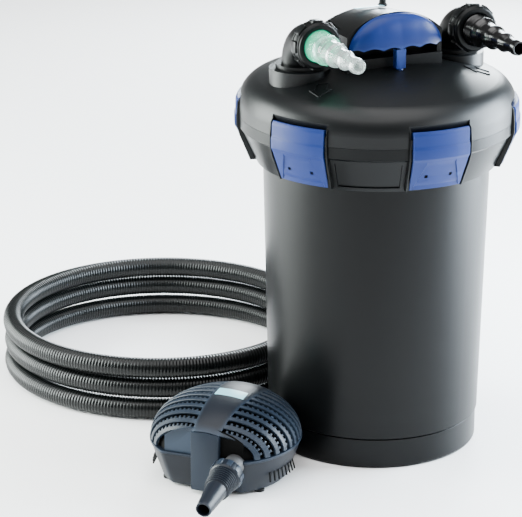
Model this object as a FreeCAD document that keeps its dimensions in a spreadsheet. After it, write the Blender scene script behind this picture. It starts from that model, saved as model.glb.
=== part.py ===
import FreeCAD, Part
import Sketcher
import math
import os
import re

from FreeCAD import Placement, Rotation, Vector

# Pressure filter for a pond: a canister with six clamps, a UV head with a pull handle, two swivelling
# elbows, a submersible pump and a coil of ribbed hose. Millimetres, +Z up, front towards -Y.
# The origin is the centre of the canister's base.

SIZES = {
    # canister
    "base_rad": 146, "plinth_top": 41.7, "body_low_rad": 148, "body_top_rad": 156.5,
    "body_wall": 4, "floor_thick": 5, "neck_top": 405, "flange_rad": 184, "flange_low": 454,
    "flange_top": 464,
    # collar under the rim
    "skirt_low_rad": 166, "skirt_low": 405.6, "skirt_top_rad": 187, "skirt_top": 452,
    "skirt_wall": 4, "rim_rad": 190, "rim_low": 455, "seam": 470, "panel_depth": 2,
    # lid
    "dome_rad": 500, "apex": 549, "dome_edge": 165, "lid_wall": 4, "spigot_rad": 149,
    "spigot_low": 452, "lid_low": 470.4, "ledge_rad": 182, "ledge_top": 484.2,
    "pocket_top": 500, "pocket_angle": 27.5,
    # clamps
    "clamp_angle": 25, "clamp_pin_rad": 168, "clamp_pin_height": 414, "pin_rad": 2,
    "pin_gap": 0.08, "pin_length": 50, "barrel_rad": 4, "barrel_width": 32, "lug_rad": 4.5,
    "window_width": 34,
    # elbows, nuts and hose tails
    "elbow_out": 117, "boss_rad": 41.5, "boss_low": 520, "boss_top": 545, "pipe_rad": 25,
    "pipe_bore": 21, "bend_rad": 36, "bend_low": 551, "spigot_gap": 0.08, "elbow_spigot_rad": 23.2,
    "elbow_flange_rad": 33, "nut_rad": 32, "nut_length": 24, "thread_rad": 28.4, "nut_gap": 0.4,
    "tail_step": 29, "tail_1": 10, "tail_2": 12.5, "tail_3": 16, "tail_4": 20, "tail_neck": 21,
    "tail_tip_bore": 7.5, "tail_back_bore": 17,
    # UV head
    "head_half": 71, "head_front": 50, "head_back": 36, "head_low": 559, "head_crease": 591,
    "head_top": 620, "head_back_top": 608, "recess_half": 64, "recess_top": 590, "recess_back": 28,
    "base_front": 52,
    # pull handle and its lift
    "visor_half": 68, "visor_low": 573, "visor_deep": 20, "visor_gap": 0.5, "bar_wide": 13.7,
    "bar_deep": 10, "bar_place": 65, "rod_rad": 5, "rod_gap": 0.06, "bridge_low": 452,
    "bridge_thick": 6, "tie_rad": 3, "plate_rad": 140, "plate_thick": 6, "lift_low": 24,
    "foam_in": 72, "foam_out": 138, "foam_count": 4, "foam_top": 424, "foam_gap": 0.3,
    "core_rad": 47, "core_wall": 3, "core_top": 466, "duct_rad": 54, "duct_top": 500,
    # lamp
    "sleeve_rad": 18.5, "sleeve_wall": 2, "sleeve_low": 190, "lamp_tube": 6.5,
    # pump
    "pump_half": 103, "pump_long": 108, "pump_high": 118, "pump_seam": 55, "pump_low": 4,
    "pump_base_ratio": 0.85, "shell_wall": 3, "motor_place": 10, "motor_height": 52,
    "motor_rad": 30, "volute_rad": 38, "impeller_rad": 26, "shaft_rad": 2, "shaft_gap": 0.06,
    "outlet_place": 44.3, "outlet_height": 50, "outlet_pitch": 9.5,
    # hose
    "coil_out": 244, "coil_in": 208, "coil_high": 95,
}

CLAMPS = 6
PANELS = 3
ELBOW_SIDES = {"outlet": -1, "inlet": 1}
PUMP_PLACE = Placement(Vector(-250, -53, 0), Rotation(Vector(0, 0, 1), -44))
COIL_PLACE = Placement(Vector(-179, 360, 0), Rotation())
ALONG_FRONT = Rotation(Vector(1, 0, 0), 90)      # turns +Z to -Y
WORD = re.compile(r"[a-z][a-z_0-9]*")

doc = FreeCAD.newDocument("PondFilter")
sheet = doc.addObject("Spreadsheet::Sheet", "Sizes")
for line, (alias, size) in enumerate(SIZES.items(), start=1):
    sheet.set(f"A{line}", alias)
    sheet.set(f"B{line}", str(size))
    sheet.setAlias(f"B{line}", alias)
doc.recompute()
nodes = []


# ---------------------------------------------------------------- helpers

def ref(expression):
    """An expression with each alias written as a reference to the sheet."""
    return WORD.sub(lambda found: "Sizes." + found[0] if found[0] in SIZES else found[0],
                    str(expression))


def val(expression):
    """The number that an expression gives with the sheet's values."""
    return float(sheet.evalExpression(ref(expression)))


def bind(thing, **expressions):
    for prop, expression in expressions.items():
        thing.setExpression(prop.replace("__", "."), ref(expression))


def keep(thing, label, place=None):
    """Give a finished sub-part its label, move it from its own place, and list it for export."""
    thing.Label = label
    if place is not None:
        thing.Placement = place.multiply(thing.Placement)
    nodes.append(thing)
    return thing


def new_body(name):
    return doc.addObject("PartDesign::Body", name)


def plane_of(body, role):
    return next(item for item in body.Origin.OriginFeatures if item.Role == role)


def new_sketch(body, name, role="XZ_Plane", offset=None):
    sketch = body.newObject("Sketcher::SketchObject", name)
    sketch.AttachmentSupport = (plane_of(body, role), [""])
    sketch.MapMode = "FlatFace"
    if offset is not None:
        sketch.AttachmentOffset = Placement(Vector(0, 0, val(offset)), Rotation())
        bind(sketch, AttachmentOffset__Base__z=offset)
    return sketch


def arc_between(start, end, bend):
    """A short arc; a positive bend turns counter-clockwise. Returns it and whether it is reversed."""
    first, last = (start, end) if bend > 0 else (end, start)
    chord = last - first
    middle = (first + last) * 0.5
    rise = math.sqrt(max(bend * bend - chord.Length ** 2 / 4, 0))
    side = Vector(-chord.y, chord.x, 0).normalize()
    centre = middle + side * rise
    angles = [math.atan2(spot.y - centre.y, spot.x - centre.x) for spot in (first, last)]
    circle = Part.Circle(centre, Vector(0, 0, 1), abs(bend))
    return Part.ArcOfCircle(circle, angles[0], angles[1]), bend < 0


def outline(body, name, points, role="XZ_Plane", offset=None):
    """A closed sketch. Each point is (x, y), or (x, y, bend radius of the edge to the next point)."""
    sketch = new_sketch(body, name, role, offset)
    spots = [Vector(val(point[0]), val(point[1]), 0) for point in points]
    ends = []
    for index, point in enumerate(points):
        start, end = spots[index], spots[(index + 1) % len(points)]
        if len(point) == 3:
            arc, turned = arc_between(start, end, val(point[2]))
            edge = sketch.addGeometry(arc, False)
            ends.append((edge, 2, 1) if turned else (edge, 1, 2))
        else:
            edge = sketch.addGeometry(Part.LineSegment(start, end), False)
            ends.append((edge, 1, 2))
    for index, point in enumerate(points):
        edge, head, _ = ends[index]
        before, _, tail = ends[index - 1]
        sketch.addConstraint(Sketcher.Constraint("Coincident", before, tail, edge, head))
        for kind, size in (("DistanceX", point[0]), ("DistanceY", point[1])):
            number = sketch.addConstraint(Sketcher.Constraint(kind, edge, head, val(size)))
            sketch.setExpression(f"Constraints[{number}]", ref(size))
        if len(point) == 3:
            bend = val(point[2])
            size = point[2] if bend > 0 else f"-({point[2]})"
            number = sketch.addConstraint(Sketcher.Constraint("Radius", edge, abs(bend)))
            sketch.setExpression(f"Constraints[{number}]", ref(size))
    return sketch


def circles(body, name, rings, role="XY_Plane", offset=None):
    """A sketch of whole circles, each (x, y, radius)."""
    sketch = new_sketch(body, name, role, offset)
    for across, up, radius in rings:
        circle = Part.Circle(Vector(val(across), val(up), 0), Vector(0, 0, 1), val(radius))
        edge = sketch.addGeometry(circle, False)
        sizes = (("DistanceX", (edge, 3), across), ("DistanceY", (edge, 3), up),
                 ("Radius", (edge,), radius))
        for kind, where, size in sizes:
            number = sketch.addConstraint(Sketcher.Constraint(kind, *where, val(size)))
            sketch.setExpression(f"Constraints[{number}]", ref(size))
    return sketch


def box_points(low_x, low_y, high_x, high_y):
    return [(low_x, low_y), (high_x, low_y), (high_x, high_y), (low_x, high_y)]


def feature(body, kind, name, sketch):
    made = body.newObject("PartDesign::" + kind, name)
    made.Profile = sketch
    return made


def turned(body, name, points, angle=360, role="XZ_Plane", kind="Revolution"):
    """Turn a closed outline about the vertical axis, right round or evenly about its own plane."""
    sketch = outline(body, name + "Outline", points, role)
    made = feature(body, kind, name, sketch)
    made.ReferenceAxis = (sketch, ["V_Axis"])
    made.Angle = val(angle)
    made.Midplane = angle != 360
    bind(made, Angle=angle)
    return made


def padded(body, name, sketch, length, midplane=False, back=False):
    made = feature(body, "Pad", name, sketch)
    made.Length = val(length)
    made.Midplane = midplane
    made.Reversed = back
    bind(made, Length=length)
    return made


def cut_in(body, name, sketch, length, midplane=False, back=False):
    """A pocket, checked to take material away."""
    doc.recompute()
    before = body.Shape.Volume
    made = feature(body, "Pocket", name, sketch)
    made.Length = val(length)
    made.Midplane = midplane
    made.Reversed = back
    bind(made, Length=length)
    doc.recompute()
    if body.Shape.Volume > before - 1:
        raise RuntimeError(f"{name} cuts nothing")
    return made


def around(body, name, originals, count):
    """Repeat features evenly about the vertical axis."""
    made = body.newObject("PartDesign::PolarPattern", name)
    made.Originals = originals
    made.Axis = (originals[0].Profile[0], ["V_Axis"])
    made.Angle = 360
    made.Occurrences = count
    body.Tip = made
    return made


def around_plan(body, name, originals, count):
    """The same, for features sketched on the ground plane."""
    made = around(body, name, originals, count)
    made.Axis = (originals[0].Profile[0], ["N_Axis"])
    return made


def solid(kind, name, place=None, **expressions):
    """A Part primitive with its sizes bound to the sheet."""
    made = doc.addObject("Part::" + kind, name)
    bind(made, **expressions)
    if place is not None:
        made.Placement = place
    return made


def drum(name, radius, length, spot=(0, 0, 0), turn=None):
    """A cylinder from a point, upwards unless it is turned."""
    place = Placement(Vector(*[val(size) for size in spot]), turn or Rotation())
    return solid("Cylinder", name, place, Radius=radius, Height=length)


def block(name, low, size):
    place = Placement(Vector(*[val(item) for item in low]), Rotation())
    return solid("Box", name, place, Length=size[0], Width=size[1], Height=size[2])


def fused(name, shapes):
    made = doc.addObject("Part::MultiFuse", name)
    made.Shapes = shapes
    return made


def less(name, base, tool):
    made = doc.addObject("Part::Cut", name)
    made.Base, made.Tool = base, tool
    return made


def grouped(name, shapes):
    made = doc.addObject("Part::Compound", name)
    made.Links = shapes
    return made


def ring(label, inner, outer, low, high, place=None):
    """A plain turned ring in a body of its own."""
    body = new_body(label)
    turned(body, label + "Turned", box_points(inner, low, outer, high))
    return keep(body, label, place)


def spoke(angle, radius):
    return radius * math.cos(math.radians(angle)), radius * math.sin(math.radians(angle))


# ---------------------------------------------------------------- canister

def container():
    """Thin tapered tub with a plinth groove."""
    body = new_body("container")
    turned(body, "TubWall", [
        (0, 0), ("base_rad - 4", 0, 4), ("base_rad", 4), ("base_rad", "plinth_top"),
        ("base_rad - 1", "plinth_top + 1"), ("body_low_rad", "plinth_top + 3"),
        ("body_top_rad", "neck_top"), ("body_top_rad", "flange_top"),
        ("body_top_rad - body_wall", "flange_top"), ("body_top_rad - body_wall", "neck_top"),
        ("base_rad - body_wall - 1", "floor_thick + 5"), ("base_rad - body_wall - 5", "floor_thick"),
        (0, "floor_thick"),
    ])
    keep(body, "container")


def collar_ring():
    """Flange for the lid's seal with a flared skirt: sunk panels, and windows and lugs for the clamps."""
    body = new_body("collar_ring")
    turned(body, "Skirt", [
        ("skirt_low_rad", "skirt_low"), ("skirt_top_rad", "skirt_top"), ("rim_rad", "rim_low"),
        ("rim_rad", "seam"), ("flange_rad", "seam"), ("flange_rad", "flange_top"),
        ("body_top_rad", "flange_top"), ("body_top_rad", "flange_low"), ("flange_rad", "flange_low"),
        ("flange_rad", "flange_low - 3"), ("skirt_low_rad - skirt_wall", "skirt_low"),
    ])
    slope = "(skirt_top_rad - skirt_low_rad)/(skirt_top - skirt_low)"
    low, high = "skirt_low + 5.4", "skirt_top - 5"
    low_rad = f"skirt_low_rad + 5.4*{slope} - panel_depth"
    high_rad = f"skirt_top_rad - 5*{slope} - panel_depth"
    panel = turned(body, "Panel", [
        (low_rad, low), (f"{low_rad} + 10", low), (f"{high_rad} + 10", high), (high_rad, high),
    ], angle=28, kind="Groove")
    around(body, "Panels", [panel], PANELS)
    lug = padded(body, "Lug", circles(body, "LugRound", [
        ("clamp_pin_rad", "clamp_pin_height", "lug_rad")], "YZ_Plane"), "pin_length", midplane=True)
    around(body, "Lugs", [lug], CLAMPS)
    window = cut_in(body, "Window", outline(body, "WindowOutline", box_points(
        "clamp_pin_rad - 10", "skirt_low - 1", "clamp_pin_rad + 12", "clamp_pin_height + 6"),
        "YZ_Plane"), "window_width", midplane=True)
    around(body, "Windows", [window], CLAMPS)
    hole = cut_in(body, "PinHole", circles(body, "PinHoleRound", [
        ("clamp_pin_rad", "clamp_pin_height", "pin_rad")], "YZ_Plane"), "pin_length", midplane=True)
    around(body, "PinHoles", [hole], CLAMPS)
    keep(body, "collar_ring")


def lid():
    """Domed lid with elbow sockets, clamp pockets and the head's holes."""
    edge_high = "apex - dome_rad + sqrt(dome_rad^2 - dome_edge^2)"
    bend = "(rim_rad - dome_edge)/(1 - dome_edge/dome_rad)"
    shoulder = f"{edge_high} - {bend}*sqrt(1 - (dome_edge/dome_rad)^2)"
    inner_rad = "dome_rad - lid_wall"
    body = new_body("lid")
    turned(body, "Dome", [
        ("spigot_rad", "lid_low"), ("rim_rad", "lid_low"), ("rim_rad", shoulder, bend),
        ("dome_edge", edge_high, "dome_rad"), (0, "apex"), (0, "apex - lid_wall", f"-({inner_rad})"),
        (150, f"apex - dome_rad + sqrt(({inner_rad})^2 - 150^2)"), ("ledge_rad - 4", 492),
        ("ledge_rad - 4", "lid_low + 5"), ("spigot_rad - 3", "lid_low + 5"),
        ("spigot_rad - 3", "spigot_low"), ("spigot_rad", "spigot_low"),
    ])
    padded(body, "Boss", circles(body, "BossRounds", [
        (f"{side}*elbow_out", 0, "boss_rad") for side in (-1, 1)], offset="boss_low"),
        "boss_top - boss_low")
    cut_in(body, "SocketBore", circles(body, "SocketRounds", [
        (f"{side}*elbow_out", 0, "elbow_spigot_rad + spigot_gap") for side in (-1, 1)],
        offset="boss_top + 1"), 40)
    cut_in(body, "LampHole", circles(body, "LampRound", [(0, 0, 22)], offset="apex + 1"), 20)
    cut_in(body, "RodHole", circles(body, "RodRound", [
        (0, "-bar_place", "rod_rad + rod_gap")], offset="apex + 1"), 20)
    pocket = turned(body, "ClampPocket", [
        ("ledge_rad", "ledge_top"), ("ledge_rad + 12", "ledge_top - 3.15"),
        ("ledge_rad + 12", "pocket_top"), ("ledge_rad + 5.2", "pocket_top"),
    ], angle="pocket_angle", role="YZ_Plane", kind="Groove")
    around(body, "ClampPockets", [pocket], CLAMPS)
    keep(body, "lid")


def clamp(label, angle):
    """Curved latch: hooks over the lid's ledge and hangs on a pin in the collar."""
    body = new_body(label)
    turned(body, label + "Wall", [
        (174.5, 410), (178, 409.6), (195.5, 452), (199, 456), (199, "seam"), (196, "seam + 3"),
        (195.5, 490), (193, 494), ("ledge_rad + 2.5", 491), ("ledge_rad + 2", "ledge_top + 1"),
        (191.5, "ledge_top - 1"), (192.3, "seam"), (192, 458), (190.5, 451),
    ], angle="clamp_angle")
    padded(body, label + "Barrel", circles(body, label + "BarrelRound", [
        ("clamp_pin_rad", "clamp_pin_height", "barrel_rad")], "XZ_Plane"),
        "barrel_width", midplane=True)
    padded(body, label + "Web", outline(body, label + "WebOutline", box_points(
        "clamp_pin_rad", "clamp_pin_height - 3", 177.5, "clamp_pin_height + 2")),
        "barrel_width", midplane=True)
    cut_in(body, label + "PinHole", circles(body, label + "PinRound", [
        ("clamp_pin_rad", "clamp_pin_height", "pin_rad + pin_gap")], "XZ_Plane"),
        "barrel_width + 10", midplane=True)
    holes = new_sketch(body, label + "HoleSquares", "YZ_Plane", "clamp_pin_rad + 8")
    for side in (-1, 1):
        corners = [Vector(side * 18 + x, 429 + y, 0)
                   for x, y in ((-2.25, -2.25), (2.25, -2.25), (2.25, 2.25), (-2.25, 2.25))]
        for index, corner in enumerate(corners):
            holes.addGeometry(Part.LineSegment(corner, corners[(index + 1) % 4]), False)
    cut_in(body, label + "Holes", holes, 30, back=True)
    keep(body, label, Placement(Vector(), Rotation(Vector(0, 0, 1), angle)))


def clamps():
    pins = []
    for index in range(CLAMPS):
        angle = 360 / CLAMPS * index - 90
        clamp(f"clamp_{index + 1}", angle)
        across = Rotation(Vector(0, 0, 1), angle)
        start = across.multVec(Vector(val("clamp_pin_rad"), val("pin_length") / 2,
                                      val("clamp_pin_height")))
        pins.append(solid("Cylinder", f"Pin{index + 1}", Placement(start, across * ALONG_FRONT),
                          Radius="pin_rad", Height="pin_length"))
    keep(grouped("ClampPins", pins), "clamp_pins")


# ---------------------------------------------------------------- elbows

def elbow(label, side):
    """Quarter bend with a spigot in the lid's socket and a threaded end towards the front."""
    def shape(name, radius, spigot, extra):
        parts = [
            drum(name + "Spigot", spigot, "bend_low - boss_low - 2", (0, 0, "boss_low + 2")),
            solid("Torus", name + "Bend", Placement(
                Vector(0, -val("bend_rad"), val("bend_low")),
                Rotation(Vector(0, 1, 0), Vector(0, 0, 1), Vector(1, 0, 0), "XYZ")),
                Radius1="bend_rad", Radius2=radius, Angle3="90"),
            drum(name + "Front", radius, "50 - bend_rad", (0, "-bend_rad", "bend_low + bend_rad"),
                 ALONG_FRONT),
        ]
        return fused(name, parts + extra)

    collar = drum(label + "Flange", "elbow_flange_rad", 4, (0, 0, "boss_top + 2"))
    thread = drum(label + "Thread", "thread_rad", 8, (0, -42, "bend_low + bend_rad"), ALONG_FRONT)
    outer = shape(label + "Outer", "pipe_rad", "elbow_spigot_rad", [collar, thread])
    inner = shape(label + "Inner", "pipe_bore", "pipe_bore - 1", [])
    place = Placement(Vector(side * val("elbow_out"), 0, 0), Rotation())
    keep(less(label + "Cut", outer, inner), label, place)


def union_nut(label, side):
    """Lugged nut that pulls the hose tail's flange onto the elbow."""
    body = new_body(label)
    turned(body, label + "Shell", [
        ("thread_rad + nut_gap", 0), ("nut_rad - 1", 0), ("nut_rad", 1), ("nut_rad", "nut_length - 3"),
        ("nut_rad - 3", "nut_length"), ("tail_neck + 1", "nut_length"),
        ("tail_neck + 1", "nut_length - 7"), ("thread_rad + nut_gap", "nut_length - 7"),
    ])
    lug = padded(body, label + "Lug", outline(body, label + "LugOutline", box_points(
        "nut_rad - 1", -4, "nut_rad + 2", 4), "XY_Plane", 4), "nut_length - 9")
    around_plan(body, label + "Lugs", [lug], 8)
    spot = Vector(side * val("elbow_out"), -40, val("bend_low + bend_rad"))
    keep(body, label, Placement(spot, ALONG_FRONT))


def hose_tail(label, side):
    """Stepped tail for four sizes of hose, on a flange held by the nut."""
    body = new_body(label)
    points = [("tail_back_bore", 0), ("thread_rad - 0.2", 0), ("thread_rad - 0.2", 4.4),
              ("tail_neck", 4.4), ("tail_neck", 12)]
    for number in (4, 3, 2, 1):
        start, end = f"12 + tail_step*{4 - number}", f"12 + tail_step*{5 - number}"
        if number < 4:
            points.append((f"tail_{number} + 1.2", start))
        points += [(f"tail_{number}", f"{start} + 2"), (f"tail_{number}", f"{end} - 2")]
        points.append((f"tail_{number} - 1", end))
    points += [("tail_tip_bore", "12 + tail_step*4"), ("tail_tip_bore", "12 + tail_step*3"),
               ("tail_back_bore", 14)]
    turned(body, label + "Steps", points)
    spot = Vector(side * val("elbow_out"), -52, val("bend_low + bend_rad"))
    keep(body, label, Placement(spot, ALONG_FRONT))


def elbows():
    for name, side in ELBOW_SIDES.items():
        elbow(f"{name}_elbow", side)
        union_nut(f"{name}_union_nut", side)
        hose_tail(f"{name}_hose_tail", side)
        upright = Placement(Vector(side * val("elbow_out"), 0, 0), Rotation())
        ring(f"{name}_elbow_seal", "elbow_spigot_rad + 0.3", 31, "boss_top", "boss_top + 2", upright)
        spot = Vector(side * val("elbow_out"), -50, val("bend_low + bend_rad"))
        ring(f"{name}_tail_gasket", "pipe_bore", "thread_rad - 1", 0, 2,
             Placement(spot, ALONG_FRONT))


# ---------------------------------------------------------------- UV head

def arch(body, name, half, low, crease, top, offset):
    """Flat-sided outline with an arched top, on a plane facing the front."""
    bend = f"(({half})^2 + (({top}) - ({crease}))^2)/(2*(({top}) - ({crease})))"
    return outline(body, name, [
        (f"-({half})", low), (half, low), (half, crease, bend), (0, top, bend),
        (f"-({half})", crease),
    ], offset=offset)


def head_base():
    """Low plinth that follows the dome and carries the head."""
    body = new_body("head_base")
    padded(body, "Plinth", outline(body, "PlinthOutline", box_points(
        "-head_half", "-base_front", "head_half", "head_back"), "XY_Plane", "head_low - 26"), 26)
    turned(body, "DomeHollow", [
        (0, 510), (120, 510), (120, "apex - dome_rad + sqrt(dome_rad^2 - 120^2)", "dome_rad"),
        (0, "apex"),
    ], kind="Groove")
    cut_in(body, "LampWell", circles(body, "LampWellRound", [(0, 0, 26)], offset="head_low + 1"), 40)
    keep(body, "head_base")


def head_housing():
    """Arched housing with a finger recess at the front, open at the back."""
    body = new_body("head_housing")
    loft = body.newObject("PartDesign::AdditiveLoft", "Hood")
    front = arch(body, "HoodFront", "head_half", "head_low", "head_crease", "head_top", "head_front")
    back = arch(body, "HoodBack", "head_half - 2", "head_low", "head_crease - 3", "head_back_top",
                "-head_back")
    loft.Profile, loft.Sections = front, [back]
    body.Tip = loft
    cut_in(body, "FingerRecess", outline(body, "RecessOutline", box_points(
        "-recess_half", "head_low", "recess_half", "recess_top"), offset="head_front + 1"),
        "head_front - recess_back + 1")
    cut_in(body, "Inside", outline(body, "InsideOutline", box_points(
        "-recess_half", "head_low + 4", "recess_half", "head_crease + 4"), offset="-head_back - 1"),
        "head_back + recess_back - 2", back=True)
    cut_in(body, "HolderHole", circles(body, "HolderRound", [(0, 0, 25)], offset="head_low + 5"), 6)
    keep(body, "head_housing")


def head_rear_cover():
    body = new_body("head_rear_cover")
    padded(body, "Cover", arch(body, "CoverOutline", "head_half - 2", "head_low", "head_crease - 3",
                               "head_back_top", "-head_back"), 3.5, back=True)
    keep(body, "head_rear_cover")


def head_fittings():
    """Screws, cable gland, blank plate, ballast, lamp, holder, sleeve and seals."""
    screws = []
    backwards = Rotation(Vector(1, 0, 0), -90)
    for side in (-1, 1):
        for height in (563, 586):
            spot = (f"{side * 66}", "head_back + 3.5", height)
            screws.append(drum(f"Screw{side + 2}_{height}", 3, 2, spot, backwards))
    keep(grouped("HeadScrews", screws), "head_screws")

    body = new_body("cable_gland")
    turned(body, "Gland", [(0, 0), (6.5, 0), (6.5, 2.5), (4.8, 4), (4.8, 9.5), (3.2, 9.5), (3.2, 3),
                           (0, 3)])
    keep(body, "cable_gland", Placement(Vector(18, 24, 610.4), Rotation()))

    keep(block("LabelPlate", (0, 0, 0), (41, 12, 1.2)), "head_label_plate",
         Placement(Vector(-28, 8, 613.6), Rotation(Vector(1, 0, 0), -8)))
    keep(block("Ballast", (-62, 6, "head_low + 5"), (30, 26, 24)), "uvc_ballast")

    body = new_body("lamp_holder")
    turned(body, "Holder", [
        (0, 557), (22.5, 557), (22.5, "head_low + 14"), (15, "head_low + 20"), (0, "head_low + 20")])
    keep(body, "lamp_holder")

    body = new_body("quartz_sleeve")
    inner = "sleeve_rad - sleeve_wall"
    turned(body, "Sleeve", [
        (0, "sleeve_low", "sleeve_rad"), ("sleeve_rad", "sleeve_low + sleeve_rad"),
        ("sleeve_rad", 556), (inner, 556), (inner, "sleeve_low + sleeve_rad", f"-({inner})"),
        (0, "sleeve_low + sleeve_wall"),
    ])
    keep(body, "quartz_sleeve")
    ring("sleeve_seal", "sleeve_rad + 0.05", 21.9, 540, 547)

    tubes = [drum(f"LampTube{side + 2}", "lamp_tube", "555 - sleeve_low - 20",
                  (7.5 * side, 0, "sleeve_low + 20")) for side in (-1, 1)]
    foot = drum("LampBridge", 14.5, 12, (0, 0, 544.9))
    keep(fused("Lamp", tubes + [foot]), "uvc_lamp")


# ---------------------------------------------------------------- filter core and pull handle

def core():
    """Slotted centre pipe, foam rings, fixed top plate and the duct to the outlet socket."""
    body = new_body("centre_pipe")
    turned(body, "Pipe", box_points("core_rad - core_wall", "floor_thick", "core_rad", "core_top"))
    slot = cut_in(body, "FlowSlot", outline(body, "FlowSlotOutline", box_points(-4, 60, 4, 400)),
                  "core_rad + 5", back=True)
    around(body, "FlowSlots", [slot], 8)
    keep(body, "centre_pipe")

    lowest = "(lift_low + plate_thick + foam_gap)"
    each = f"(foam_top - {lowest})/foam_count"
    for index in range(int(val("foam_count"))):
        ring(f"foam_ring_{index + 1}", "foam_in", "foam_out", f"{lowest} + {index}*{each}",
             f"{lowest} + {index + 1}*{each} - foam_gap")

    for label, low, bore in (("foam_top_plate", "foam_top", "tie_rad + 1.5"),
                             ("lift_plate", "lift_low", "tie_rad")):
        body = new_body(label)
        turned(body, label + "Disc", box_points("core_rad + 2", low, "plate_rad - 4",
                                                f"{low} + plate_thick"))
        rods = [spoke(angle, val("bar_place")) for angle in (-90, 0, 90)]
        cut_in(body, label + "RodHoles", circles(body, label + "RodRounds", [
            (round(x, 6), round(y, 6), bore) for x, y in rods],
            offset=f"{low} + plate_thick + 1"), 20)
        flow = cut_in(body, label + "Flow", circles(body, label + "FlowRound", [
            (95, 0, 12)], offset=f"{low} + plate_thick + 1"), 20)
        around_plan(body, label + "Flows", [flow], 9)
        keep(body, label)

    outer = [drum("DuctPot", "duct_rad", "duct_top - core_top", (0, 0, "core_top")),
             block("DuctArm", ("-elbow_out", -24, "core_top + 4"), ("elbow_out", 48, 30)),
             drum("DuctRise", 24, "boss_low - core_top - 4.5", ("-elbow_out", 0, "core_top + 4"))]
    inner = [drum("PotHollow", "core_rad - core_wall", 30, (0, 0, "core_top")),
             block("ArmHollow", ("-elbow_out", -20, "core_top + 8"), ("elbow_out", 40, 22)),
             drum("RiseHollow", 20, 60, ("-elbow_out", 0, "core_top + 8")),
             drum("SleeveHole", "sleeve_rad + 1", 60, (0, 0, "core_top"))]
    keep(less("Duct", fused("DuctOuter", outer), fused("DuctInner", inner)), "outlet_duct")


def pull_handle():
    """Visor-shaped grip with finger waves and a hand hollow, open below."""
    body = new_body("pull_handle")
    loft = body.newObject("PartDesign::AdditiveLoft", "Visor")
    near = "head_front + visor_gap"
    back = arch(body, "VisorBack", "visor_half", "visor_low", "head_crease - 2", "head_top - 2", near)
    front = arch(body, "VisorFront", "visor_half - 16", "visor_low", "visor_low + 6",
                 "visor_low + 16", f"{near} + visor_deep")
    loft.Profile, loft.Sections = back, [front]
    body.Tip = loft
    cut_in(body, "FingerWaves", circles(body, "WaveRounds", [
        (step * 27, "visor_low - 11", 14) for step in (-1.5, -0.5, 0.5, 1.5)], "XZ_Plane", near),
        "visor_deep + 10", back=True)
    cut_in(body, "HandHollow", outline(body, "HollowOutline", box_points(
        -54, f"-({near} + 11)", 54, f"-({near} + 2)"), "XY_Plane", "visor_low - 1"), 24, back=True)
    keep(body, "pull_handle")


def pull_bar():
    """Flat bar below the grip that becomes a round rod through the lid."""
    body = new_body("pull_bar")
    middle, half = "-bar_place", "bar_wide/2"
    padded(body, "Bar", outline(body, "BarOutline", box_points(
        f"-{half}", f"{middle} - bar_deep/2", half, f"{middle} + bar_deep/2"), "XY_Plane", 546.5),
        "visor_low - 546.5")
    padded(body, "Rod", circles(body, "RodRound2", [(0, middle, "rod_rad")],
                                offset="bridge_low + bridge_thick"),
           "547 - bridge_low - bridge_thick")
    keep(body, "pull_bar")


def lift():
    """Bridge below the lid and three tie rods down to the lift plate."""
    body = new_body("lift_bridge")
    turned(body, "Bridge", box_points("bar_place - 7", "bridge_low", "bar_place + 7",
                                      "bridge_low + bridge_thick"), angle=194)
    keep(body, "lift_bridge")
    rods = []
    for angle in (-90, 0, 90):
        x, y = spoke(angle, val("bar_place"))
        rods.append(drum(f"Tie{angle + 90}", "tie_rad", "bridge_low - lift_low", (x, y, "lift_low")))
    keep(grouped("TieRods", rods), "tie_rods")
    ring("rod_seal", "rod_rad + rod_gap", 9, 534, 539.4,
         Placement(Vector(0, -val("bar_place"), 0), Rotation()))


# ---------------------------------------------------------------- pump

def pump_ellipse(body, name, ratio, inset, height):
    """One level of the pump's oval plan."""
    sketch = new_sketch(body, name, "XY_Plane", height)
    across = val(f"pump_half*{ratio} - {inset}")
    along = val(f"pump_long*{ratio} - {inset}")
    oval = Part.Ellipse(Vector(0, along, 0), Vector(across, 0, 0), Vector())
    edge = sketch.addGeometry(oval, False)
    sketch.exposeInternalGeometry(edge)
    return sketch


def pump_lower_shell():
    """Oval tub that stands on four feet."""
    body = new_body("pump_lower_shell")
    for kind, name, inset, low in (("AdditiveLoft", "Tub", 0, "pump_low"),
                                   ("SubtractiveLoft", "TubHollow", "shell_wall",
                                    "pump_low + shell_wall")):
        foot = pump_ellipse(body, name + "Foot", "pump_base_ratio", inset, low)
        rim = pump_ellipse(body, name + "Rim", 1, inset, "pump_seam")
        loft = body.newObject("PartDesign::" + kind, name)
        loft.Profile, loft.Sections = foot, [rim]
        body.Tip = loft
    cut_in(body, "OutletNotch", circles(body, "NotchRound", [
        ("outlet_place", "outlet_height", 17)], "XZ_Plane", "pump_long + 10"), 60)
    keep(body, "pump_lower_shell", PUMP_PLACE)


def pump_dome(name, inset):
    """Half ellipsoid on the seam."""
    return solid("Ellipsoid", name, Placement(Vector(0, 0, val("pump_seam")), Rotation()),
                 Radius1=f"pump_high - pump_seam - {inset}", Radius2=f"pump_half - {inset}",
                 Radius3=f"pump_long - {inset}", Angle1="0", Angle2="90")


def pump_upper_shell():
    """Oval dome with rows of intake slots either side of a plain band."""
    slots = []
    for row in range(7):
        for side in (-1, 1):
            low_x = 24 if side > 0 else -104
            slots.append(block(f"Slot{row}_{side + 1}", (low_x, 24 * row - 78, "pump_seam + 8"),
                               (80, 8, 60)))
    notch = drum("DomeNotch", 17, 70, ("outlet_place", -60, "outlet_height"), ALONG_FRONT)
    tools = fused("DomeTools", [pump_dome("DomeInner", "shell_wall"), notch] + slots)
    keep(less("DomeShell", pump_dome("DomeOuter", 0), tools), "pump_upper_shell", PUMP_PLACE)


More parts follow.
